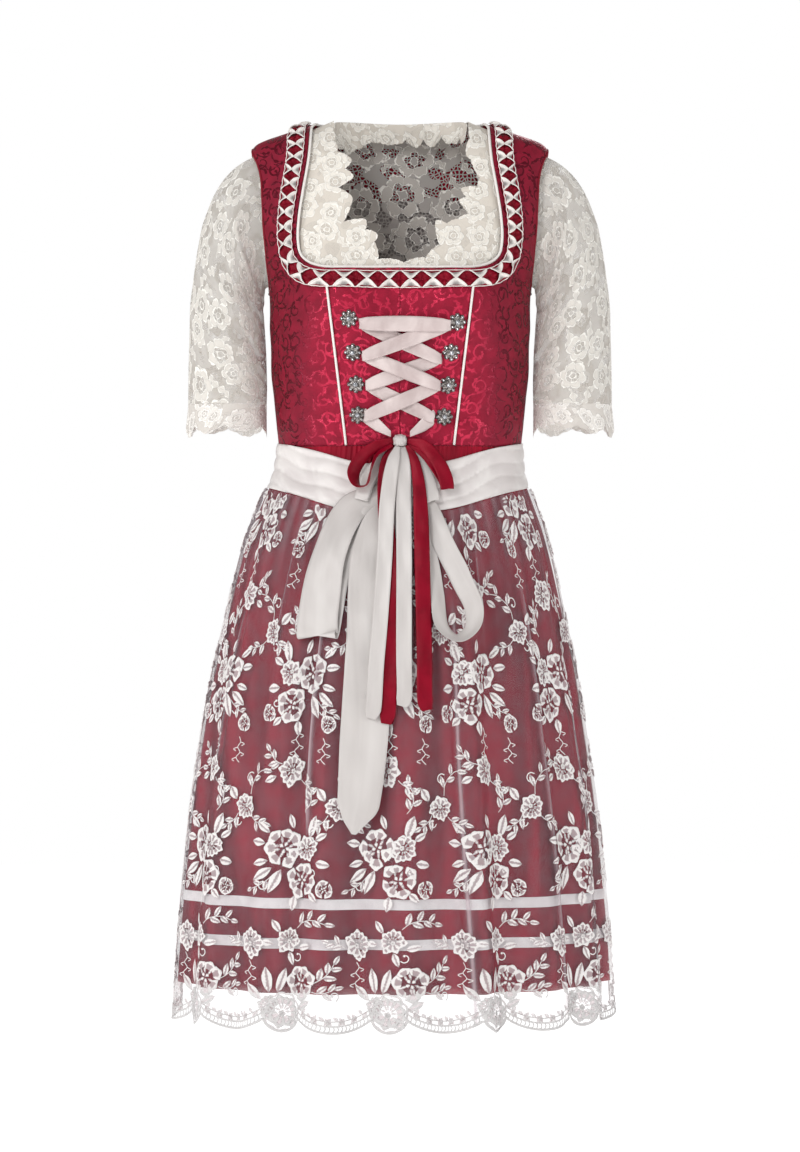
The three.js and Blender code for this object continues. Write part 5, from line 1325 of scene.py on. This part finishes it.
def makeBlouseFront():
    half = read(bodySections, "half", blouse["hem"])
    t = np.linspace(0, 1, 5)[1:]
    outer = np.vstack([blouseHole(np.linspace(0, 0.5, 11)), blouseSeam(1 - np.linspace(0, 1, 3)[1:]),
                       onFront(half * np.cos(math.pi / 2 * t), blouse["hem"] + 0 * t)])
    outer[:, 1] = np.minimum(outer[:, 1], -0.15)
    outer = np.vstack([mirror(outer), outer[:-1][::-1]])
    inner = onFront(leafEdge["x"], leafEdge["z"])
    inner[:, 1] = np.minimum(inner[:, 1], -0.15)
    fine = np.linspace(0, 32, 32 * 9 + 1)
    inner, outer = (np.stack([np.interp(fine, np.arange(33), line[:, k]) for k in range(3)], -1) for line in (inner, outer))
    ahead = unit(np.gradient(inner, axis=0))
    bulge = 1.7 * np.sin(math.pi * np.mod(fine, 1)) ** 0.8 + 0.7 * np.abs(np.sin(math.pi * 3 * fine))
    inner = inner - np.cross(ahead, formNormal(inner)) * bulge[:, None]
    v = np.linspace(0, 1, 49)[:, None] ** 1.3
    p = inner[None] * (1 - v[..., None]) + outer[None] * v[..., None]
    soft = 0.3 * np.exp(-(v / 0.05) ** 2) * np.sin(math.pi * np.mod(fine, 1))[None]
    soft = soft + 0.35 * np.sin(p[..., 0] * 0.11 + p[..., 2] * 0.07) * np.sin(p[..., 2] * 0.09)
    low = np.maximum(ramp(np.abs(p[..., 0]), 95, 140), ramp(-p[..., 2], 182, 215))
    points = settle(p, lerp(blouse["neck"], blouse["edge"], low) + soft)
    flat = np.stack([points[..., 0], points[..., 2]], -1)
    work = bmesh.new()
    addGrid(work, points[::-1], flat[::-1])
    for face in work.faces:  # some lie over each other behind the notches, and shared normals would crease there
        face.smooth = False
    piece = makePiece("blouseFront", work, [looks["yoke"]], ["blouse_front"])


makeBlouseFront()


def blouseNeck(t):
    angle = math.pi / 2 * np.asarray(t, float)
    return settle(vec(83 * np.cos(angle), 62 * np.sin(angle), 8 - 4 * np.sin(angle) ** 2))


def blouseRidge(t):
    return onSide(0 * np.asarray(t, float), lerp(8, -36, t))


blouseTop = joined(4 / 7, lambda t: blouseNeck(1 - t), blouseRidge)
blouseSide = joined(2 / 12, blouseSeam, lambda t: blouseHole(0.5 + 0.5 * t))
blouseBack = coons(lambda s: settle(skirtSkin(lerp(-90, -270, s), blouse["hem"] + 0 * s, 0)),
                   lambda s: np.where((s < 0.5)[..., None], mirror(blouseTop(np.abs(1 - 2 * s))), blouseTop(np.abs(2 * s - 1))),
                   lambda t: mirror(blouseSide(t)), blouseSide, 90, 80)
rise = blouseRise(1 - np.linspace(0, 1, 81))[:, None] - 0.5
clothPiece("blouseBack", blouseBack + formNormal(blouseBack) * rise[..., None], [looks["backLace"]],
           ["blouse_back"], None)


def makeRuffle():
    u, t = np.meshgrid(np.linspace(0, 1, 241), np.linspace(0, 1, 23))
    p = blouseNeck(1 - np.abs(2 * u - 1) * 0.995)
    p = p * vec(np.where(u < 0.5, -1.0, 1.0), 1.0, 1.0)
    leaf = np.abs(np.sin(8 * math.pi * u + 0.7 * np.sin(6 * math.pi * u + 1))) ** 0.8
    deep = 13 + 9 * leaf * (0.8 + 0.4 * np.sin(9 * u + 2)) + 15 * np.exp(-((u - 0.2) / 0.12) ** 2) + 9 * (2 * np.abs(u - 0.5)) ** 6
    drop = lerp(9 * (2 * np.abs(u - 0.5)) ** 10 - 5, deep + 1.2 * np.abs(np.sin(40 * math.pi * u)), t)
    away = 9.4 - 5.0 * (2 * np.abs(u - 0.5)) ** 12
    q = p - formNormal(p) * (away + 1.3 * t * np.sin(24 * math.pi * u) + 1.0 * np.sin(math.pi * t))[..., None]
    inward = 1 - (3 * t**2 + 0.6) / np.hypot(q[..., 0], q[..., 1])
    points = vec(q[..., 0] * inward, q[..., 1] * inward, q[..., 2] - drop)
    clothPiece("neckRuffle", points, [looks["yoke"]], ["neck_ruffle"], {"thick": 0.4})


makeRuffle()

# sleeves: how far each line from the sleeve head runs out and down, and rises from the cuff
sleeveRuns = table("turn out down rise inward", (0, 60, 22, 205, 0), (0.25, 45, 0, 150, 0), (0.5, 26, -6, 88, -4),
                   (0.75, 45, 0, 150, 0), (1, 60, 22, 205, 0))
# soft creases of the sleeve: turn, share of its length, run, lean, depth
sleeveCreases = table("turn at wide tall lean deep", (0.30, 0.35, 0.08, 0.05, 0.5, 2.2), (0.42, 0.5, 0.1, 0.04, -0.6, -2.4),
                      (0.2, 0.62, 0.1, 0.04, 0.5, 2.0), (0.36, 0.78, 0.1, 0.04, 0.3, -2.0), (0.62, 0.45, 0.1, 0.05, 0.6, 2.4),
                      (0.75, 0.7, 0.1, 0.04, -0.5, -2.2), (0.08, 0.8, 0.1, 0.05, 0.4, 1.8), (0.9, 0.55, 0.1, 0.05, -0.4, 2.0),
                      (0.55, 0.2, 0.08, 0.04, 0.2, -1.8), (0.12, 0.4, 0.08, 0.05, -0.5, -1.6))


def sleeveRun(column, turn):
    k = np.minimum(3, np.floor(turn * 4).astype(int))
    share = turn * 4 - k
    return lerp(sleeveRuns[column][k], sleeveRuns[column][k + 1], 0.5 - 0.5 * np.cos(math.pi * share))


def sleeveSkin(turn, t):
    turn = np.mod(turn, 1)
    head = armholePoint(turn, {key: size - 2.2 for key, size in blouse["head"].items()})
    start = head + formNormal(head) * (blouse["edge"] - 0.5)
    angle, cuff = 2 * math.pi * turn, blouse["cuff"]
    end = vec(cuff["x"] + cuff["half"] * np.cos(angle), -cuff["depth"] * np.sin(angle), cuff["z"])
    swell = -14 * np.sin(angle)
    first = start + vec(sleeveRun("out", turn), swell, -sleeveRun("down", turn))
    last = end + vec(sleeveRun("inward", turn), 0.2 * swell, sleeveRun("rise", turn))
    t = np.asarray(t, float)[..., None]
    return start * (1 - t) ** 3 + first * 3 * t * (1 - t) ** 2 + last * 3 * t**2 * (1 - t) + end * t**3


def sleevePoint(turn, t, lift):
    across = sleeveSkin(turn + 0.01, t) - sleeveSkin(turn - 0.01, t)
    down = sleeveSkin(turn, np.minimum(1, t + 0.02)) - sleeveSkin(turn, np.maximum(0, t - 0.02))
    return sleeveSkin(turn, t) + unit(np.cross(across, down)) * np.asarray(lift)[..., None]


def sleeveLift(turn, t):
    out = 0
    for at, share, wide, tall, lean, deep in zip(*sleeveCreases.values()):
        away = np.mod(turn - at + 0.5, 1) - 0.5
        out = out + deep * np.exp(-(away / wide) ** 2 - ((t - share - lean * away) / tall) ** 2)
    return out * ramp(t, 0.02, 0.15) * ramp(-t, -1.0, -0.88)


def makeSleeve(side, word):
    turn, t = np.meshgrid(np.linspace(0.5, 1.5, 161), np.linspace(0, 1, 111))
    points = mirror(sleevePoint(turn, t, sleeveLift(np.mod(turn, 1), t)), side)
    middle = (side * 200, 0, -220)
    clothPiece(f"sleeve{word.title()}", points, [looks["lace"]], [f"sleeve_{word}"], None,
               ring=True, away=middle)
    turn, t = np.meshgrid(np.linspace(0.5, 1.5, 337), np.linspace(0, 1, 25))
    leaf = np.mod(turn * blouse["cuffPoints"] + 0.3 * np.sin(2 * math.pi * turn), 1)
    point = (1 - np.abs(2 * leaf - 1) ** 1.2) + 0.16 * np.abs(np.sin(4 * math.pi * leaf))
    uneven = 0.8 + 0.3 * np.sin(2 * math.pi * turn * 2 + 1)
    points = sleevePoint(turn, 1 + 0 * t, 1.3 * t * np.sin(2 * math.pi * (leaf + 0.2)))
    points[..., 2] = blouse["cuff"]["z"] - 0.3 - t * (blouse["cuffDeep"] + blouse["cuffDrop"] * point * uneven)
    points[..., 0] += 1.5 * t * np.cos(2 * math.pi * turn)
    clothPiece(f"cuffLace{word.title()}", mirror(points, side), [looks["cuff"]], [f"cuff_lace_{word}"], None,
               ring=True, away=(side * 207, 0, -350))


for side, word in ((1, "left"), (-1, "right")):
    makeSleeve(side, word)
print("blouse made")

# ---- embroidery of the apron: satin-stitch pieces laid out flat, then put on the cloth ----
# its map holds how far each place is raised, from 0 to 1 in millimetres, and its place along the piece
def stitched(u, v, turn, x, y, high):  # one raised piece: flat places turned about (u, v), with its height
    c, s = math.cos(turn), math.sin(turn)
    return np.stack([u + x * c - y * s, v + x * s + y * c, high], axis=-1), np.stack([high, x], axis=-1)


def leafAt(u, v, turn, long, wide, high=0.9, blunt=1.0, rows=5, columns=4):  # a rim on either side of a low rib
    t, w = np.meshgrid(np.linspace(0, 1, rows + 1), np.linspace(-1, 1, columns + 1), indexing="ij")
    body = np.sin(math.pi * t**blunt) ** 0.8 * wide / 2 * (1 + 0.08 * np.sin(9 * t + turn) * np.abs(w)) + 0.12
    ridge = 0.75 + 0.25 * np.cos(math.pi * w) if columns == 2 else 0.3 + 0.7 * np.sin(math.pi * np.abs(w) * 0.75)
    return [stitched(u, v, turn, t * long, w * body, high * ridge * (0.6 + 0.4 * np.sin(math.pi * t)))]


def stemAt(points, wide=0.9, high=0.5):
    points = np.array(points, float)
    line = spline(points, np.linspace(0, len(points) - 1, 5 * (len(points) - 1) + 1))
    ahead = unit(np.gradient(line, axis=0))
    side = np.stack([-ahead[:, 1], ahead[:, 0]], axis=-1)
    w = np.array([-1.0, 0, 1])
    flat = line[:, None] + side[:, None] * w[None, :, None] * wide / 2
    height = np.broadcast_to(high * (1 - 0.7 * np.abs(w)), flat.shape[:2])
    uv = np.stack(np.broadcast_arrays(w * 0 + 1, milesOf(line)[:, None]), -1)
    return [(np.concatenate([flat, height[..., None]], axis=-1), uv)]


def ringAt(u, v, inner, outer, lobes, deep, turn=0.0, high=0.8, steps=40):
    angle, t = np.meshgrid(np.linspace(0, 2 * math.pi, steps + 1), np.linspace(0, 1, 4))
    lobe = np.abs(np.cos(lobes / 2 * (angle - turn))) ** 0.7
    r = lerp(inner * (0.94 + 0.1 * lobe), outer * (1 - deep + deep * lobe), t)
    height = high * (0.35 + 0.65 * np.sin(math.pi * t)) * (0.7 + 0.3 * lobe)
    flat = np.stack([u + r * np.cos(angle), v + r * np.sin(angle), height], axis=-1)
    return [(flat, np.stack([height, angle * outer], axis=-1))]


def petalAt(u, v, turn, inner, outer, wide, high=1.0):  # rounded at its far end, with a raised rim round a low fill
    t, w = np.meshgrid(np.array([0, 0.22, 0.5, 0.74, 0.9, 1]), np.array([-1, -0.72, -0.3, 0.3, 0.72, 1]), indexing="ij")
    body = wide / 2 * (0.42 + 0.58 * np.sin(math.pi * (0.02 + 0.66 * t)) ** 0.9) * (1 - 0.45 * t**6)
    x = inner + (outer - inner) * t * (1 - 0.34 * w**2 * t)
    rim = np.exp(-((np.maximum(t * 0.98, np.abs(w)) - 0.8) / 0.17) ** 2)
    return [stitched(u, v, turn, x, w * body, high * (0.18 + 0.82 * rim))]


def blossomAt(u, v, size, turn=0.0):  # an open flower: round petals, an openwork middle and a small inner flower
    pieces, count = [], 7 if size > 12 else 5
    for k in range(count):
        angle = turn + 2 * math.pi * (k + 0.16 * math.sin(3 * k + turn)) / count
        far = size * (1 + 0.1 * math.sin(2.6 * k + 3 * turn))
        pieces += petalAt(u, v, angle, size * (0.5 + 0.05 * math.sin(4 * k)), far, 6.0 * size / count)
    for k in range(count):
        angle = turn + 0.45 + 2 * math.pi * (k + 0.2 * math.sin(5 * k)) / count
        start = size * (0.22 + 0.05 * math.sin(3 * k + turn))
        at = (u + math.cos(angle) * start, v + math.sin(angle) * start)
        pieces += leafAt(*at, angle + 0.5 * math.sin(2 * k + turn), size * 0.42, size * 0.15, 0.6, 0.8, 3, 2)
    for k in range(4):
        angle = turn + 0.4 + 2 * math.pi * k / 4.3
        at = (u + math.cos(angle) * size * 0.05, v + math.sin(angle) * size * 0.05)
        pieces += leafAt(*at, angle, size * 0.26, size * 0.2, 0.8, 1.3, 3, 2)
    return pieces


def roseAt(u, v, size, turn=0.0):  # a rose seen from the side: a frilled rim of petals, a cup and a small heart
    pieces = []
    east, north = math.cos(turn), math.sin(turn)
    for k in range(9):
        angle = turn - 1.95 + 3.9 * k / 8
        far = size * (1.05 + 0.1 * math.sin(2.3 * k + turn))
        pieces += petalAt(u - east * size * 0.1, v - north * size * 0.1, angle, size * 0.52, far, size * 0.62)
    for k in range(3):  # the cup, from the stalk's side
        angle = turn + math.pi - 0.75 + 0.75 * k
        pieces += petalAt(u, v, angle, size * 0.28, size * (0.9 + 0.08 * (k % 2)), size * 0.78)
    for k in range(6):
        angle = turn - 1.3 + 0.52 * k
        at = (u + math.cos(angle) * size * 0.14, v + math.sin(angle) * size * 0.14)
        pieces += leafAt(*at, angle + 0.2 * math.sin(3 * k), size * 0.36, size * 0.12, 0.6, 0.8, 3, 2)
    pieces += ringAt(u - east * size * 0.12, v - north * size * 0.12, 0.1, size * 0.22, 5, 0.3, turn, 0.9, 20)
    return pieces


def sprayAt(u, v, turn, long, leaves, size, bend=0.5):
    pieces, points = [], []
    for k in range(5):
        share = k / 4
        angle = turn + bend * (share - 0.5)
        points.append((u + long * share * math.cos(angle), v + long * share * math.sin(angle)))
    pieces += stemAt(points)
    line = spline(np.array(points), np.linspace(0, 4, leaves + 1))
    for k in range(1, leaves + 1):
        side = 1 if k % 2 else -1
        angle = turn + bend * (k / leaves - 0.2) + side * (0.75 if k < leaves else 0.1)
        grown = size * (1.25 - 0.3 * k / leaves)
        pieces += leafAt(line[k][0], line[k][1], angle, grown, grown * 0.46, 0.7, 0.85)
    return pieces


def tendrilAt(u, v, turn, size, side=1):
    t = np.linspace(0, 1, 8)
    angle = turn + side * (4.6 * t)
    r = size * (1 - 0.62 * t)
    centre = (u + size * math.cos(turn + side * 1.57), v + size * math.sin(turn + side * 1.57))
    points = [(centre[0] + r[k] * math.cos(angle[k] - side * 1.57), centre[1] + r[k] * math.sin(angle[k] - side * 1.57))
              for k in range(8)]
    bud = points[-1]
    return stemAt(points, 1.3) + leafAt(bud[0] - 1, bud[1], 0.3, 3.4, 3.0, 0.9, 1.0, 3, 2)


def zigzagAt(u, v, down, wide=4.0):
    count = max(3, int(abs(down) / 6))
    points = [(u + wide * (0.9 if k % 2 else -0.9) * (0.4 + 0.6 * k / count), v + down * k / count) for k in range(count + 1)]
    pieces = stemAt(points, 1.1)
    for k, (x, y) in enumerate(points[1:-1]):
        side = 1 if k % 2 == 0 else -1
        tip = (x + side * 6.5, y - 2.5)
        pieces += stemAt([(x, y), tip, (x + side * 2.2, y - 4.5)], 1.0)
    return pieces


def clusterAt(u, v, f, turn):  # three flowers with their leaves, buds and a tendril; f is 1, or -1 to mirror it
    pieces = blossomAt(u + 12 * f, v + 13, 24, turn) + blossomAt(u - 15 * f, v - 24, 21.5, turn + 0.4)
    pieces += roseAt(u - 21 * f, v + 13, 16, turn + 1) + petalAt(u - 6 * f, v + 2, 2.5, 0, 16, 15)
    for x, y, angle, long, wide in ((-25, 25, 1.9, 27, 12), (-34, 22, 2.6, 16, 8), (30, 30, 0.6, 22, 8), (35, 18, 0.1, 19, 9),
                                    (15, -12, -1.1, 31, 12), (26, -10, -0.6, 28, 10), (31, -2, -0.25, 20, 8),
                                    (-35, -4, 3.3, 17, 10), (0, 35, 1.2, 18, 8), (-4, -42, -1.4, 18, 11), (-27, -38, 3.9, 15, 8)):
        way = angle if f > 0 else math.pi - angle
        pieces += leafAt(u + x * f, v + y, way, long, wide, 0.8, 0.9, 6, 4)
    way = -0.7 if f > 0 else math.pi + 0.7
    pieces += sprayAt(u + 26 * f, v - 20, way, 28, 4, 11, 0.3 * f)
    pieces += tendrilAt(u + 30 * f, v - 32, way - 0.5 * f, 6.5, f) + tendrilAt(u - 32 * f, v - 20, math.pi - way + 1.2, 5.5, -f)
    pieces += blossomAt(u - 46 * f, v - 34, 10.5, turn)
    return pieces


def betweenAt(u, v, f, turn):  # the roses, sprigs and tendrils between two clusters
    def way(angle):
        return angle if f > 0 else math.pi - angle
    pieces = roseAt(u - 6 * f, v - 99, 18, turn) + zigzagAt(u - 2 * f, v - 50, -34, 4.0)
    pieces += sprayAt(u + 8 * f, v - 110, way(-0.7), 18, 3, 12, 0.3) + sprayAt(u - 20 * f, v - 92, way(2.7), 22, 4, 12, -0.5 * f)
    pieces += roseAt(u + 62 * f, v - 142, 15.5, turn + 2) + sprayAt(u + 68 * f, v - 128, way(1.2), 44, 5, 13, -0.9 * f)
    pieces += tendrilAt(u + 70 * f, v - 104, way(2.4), 7.5, f) + sprayAt(u + 73 * f, v - 152, way(-0.6), 24, 4, 12, 0.5 * f)
    pieces += sprayAt(u + 50 * f, v - 150, way(-2.2), 20, 4, 12, -0.4 * f) + tendrilAt(u + 56 * f, v - 160, way(-1.7), 6, -f)
    pieces += sprayAt(u + 18 * f, v - 148, way(1.1), 34, 6, 12, 0.8 * f) + zigzagAt(u + 40 * f, v - 62, -30, 3.5)
    pieces += leafAt(u + 46 * f, v - 134, way(2.2), 18, 11, 0.8, 0.9, 6, 4) + leafAt(u - 26 * f, v - 106, way(3.6), 16, 8, 0.8)
    return pieces + blossomAt(u + 44 * f, v - 46, 10.5, turn + 1)


def edgeLine(mile, up):
    return form["apronHem"] - apron["drop"] * scallopAt(mile) + up


def borderAt(u):  # one repeat of the lace border: a lobe flower, a blossom, lilies, sprays and three cords with bars
    pieces = roseAt(u, -1044, 21, 1.3) + roseAt(u - 17, -1036, 11, 2.4) + ringAt(u, -1044, 20, 23.5, 9, 0.12, 0.3, 0.7, 46)
    pieces += blossomAt(u + 25, -1010, 21, 0.3) + roseAt(u + 5, -962, 15, 2.0) + roseAt(u - 40, -966, 17, 0.6)
    for x, z, angle, long, wide in ((-16, -1022, 1.75, 30, 11), (-7, -1022, 1.25, 30, 11), (-24, -1030, 2.4, 26, 10),
                                    (20, -971, 0.2, 18, 8), (-6, -953, 2.2, 18, 8), (6, -975, -1.2, 17, 8),
                                    (-14, -966, 3.0, 15, 7), (22, -1040, 0.5, 19, 9)):
        pieces += leafAt(u + x, z, angle, long, wide, 0.8, 0.9, 6, 4)
    pieces += sprayAt(u + 44, -1010, 0.6, 30, 5, 13, 0.4) + sprayAt(u + 42, -1020, -0.1, 24, 4, 12, 0.5)
    pieces += sprayAt(u + 16, -948, 0.5, 38, 6, 13, -0.7) + tendrilAt(u + 14, -984, -0.9, 6, 1) + zigzagAt(u - 40, -986, -30, 4.0)
    pieces += sprayAt(u - 56, -970, 2.6, 18, 4, 11, 0.4) + tendrilAt(u + 68, -1030, 0.4, 6, 1)
    start, end = u + 21, u + 113
    for m in np.arange(start + 3, end - 3, 4.6):
        low, top = edgeLine(m, 2.4), edgeLine(m, 9.0)
        pieces += stemAt([(m, low), (m + 1.6, (low + top) / 2), (m + 0.2, top)], 1.4, 0.45)
    for k, m in enumerate(np.arange(start + 6, end - 5, 7.4)):
        way = 1.57 + (0.7 if k % 2 else -0.7)
        pieces += leafAt(m, edgeLine(m, 10), way, 10.5, 5, 0.6, 0.9) + leafAt(m, edgeLine(m, 15), way + 1.6, 7.5, 4, 0.6, 0.9)
    return pieces


def fits(flat):  # whether a piece lies on the cloth, clear of its sides and of the sash
    u, top = flat[..., 0], sashBottom(np.interp(flat[..., 0].mean(), apronMiles, apronTurns)) - 2
    return u.min() > 0.3 and u.max() < apronWide - 0.3 and flat[..., 1].max() < top and flat[..., 1].min() > -1069


def makeEmbroidery(pieces):
    ready = [(flat, uv) for flat, uv in pieces if fits(flat)]
    work = bmesh.new()
    for shape in sorted({flat.shape for flat, _ in ready}):
        alike = [(flat, uv) for flat, uv in ready if flat.shape == shape]
        flats = np.concatenate([flat for flat, _ in alike], axis=1)
        placed = onApron(flats[..., 0], flats[..., 1], flats[..., 2] * 1.5 + 0.25)
        addGrid(work, placed, np.concatenate([uv for _, uv in alike], axis=1), parts=len(alike))
    piece = makePiece("apronEmbroidery", work, [looks["stitching"]])
    print("embroidery faces", len(piece.data.polygons))


def apronEmbroidery():
    pieces = []
    lobe = apron["first"] + apron["wide"] + (apron["repeat"] - apron["wide"]) / 2 - 2 * apron["repeat"]
    for k in range(8):
        u = lobe + k * apron["repeat"]
        pieces += borderAt(u)
        for row, v in enumerate((-466, -668, -869)):
            flip = 1 if row % 2 else -1
            pieces += clusterAt(u + 6 * math.sin(k * 2 + row), v, flip, 0.7 * k + row)
            if row < 2:
                pieces += betweenAt(u + 4, v, flip, 0.5 * k + row)
    for up, wide, high in ((1.3, 3.0, 0.9), (9.0, 2.0, 0.6), (14.5, 1.4, 0.5)):
        for start in np.arange(0.6, apronWide - 1, 24.0):
            m = np.linspace(start, min(start + 24.0, apronWide - 0.6), 13)
            pieces += stemAt(np.stack([m, edgeLine(m, up)], axis=-1), wide, high)
    makeEmbroidery(pieces)


apronEmbroidery()
for mile, word in ((0.8, "Right"), (apronWide - 0.8, "Left")):
    z = np.linspace(sashBottom(apronTurns[0 if mile < 1 else -1]) - 2, form["apronHem"] - 2, 120)
    work = bmesh.new()
    out = unit(onApron(0 * z + mile, z, 1.0) - onApron(0 * z + mile, z, 0.0))
    addTube(work, onApron(0 * z + mile, z, 0.3), 0.9, 0, sides=6, up=out)
    makePiece(f"apronSideHem{word}", work, [looks["thread"]])
print("embroidery made")
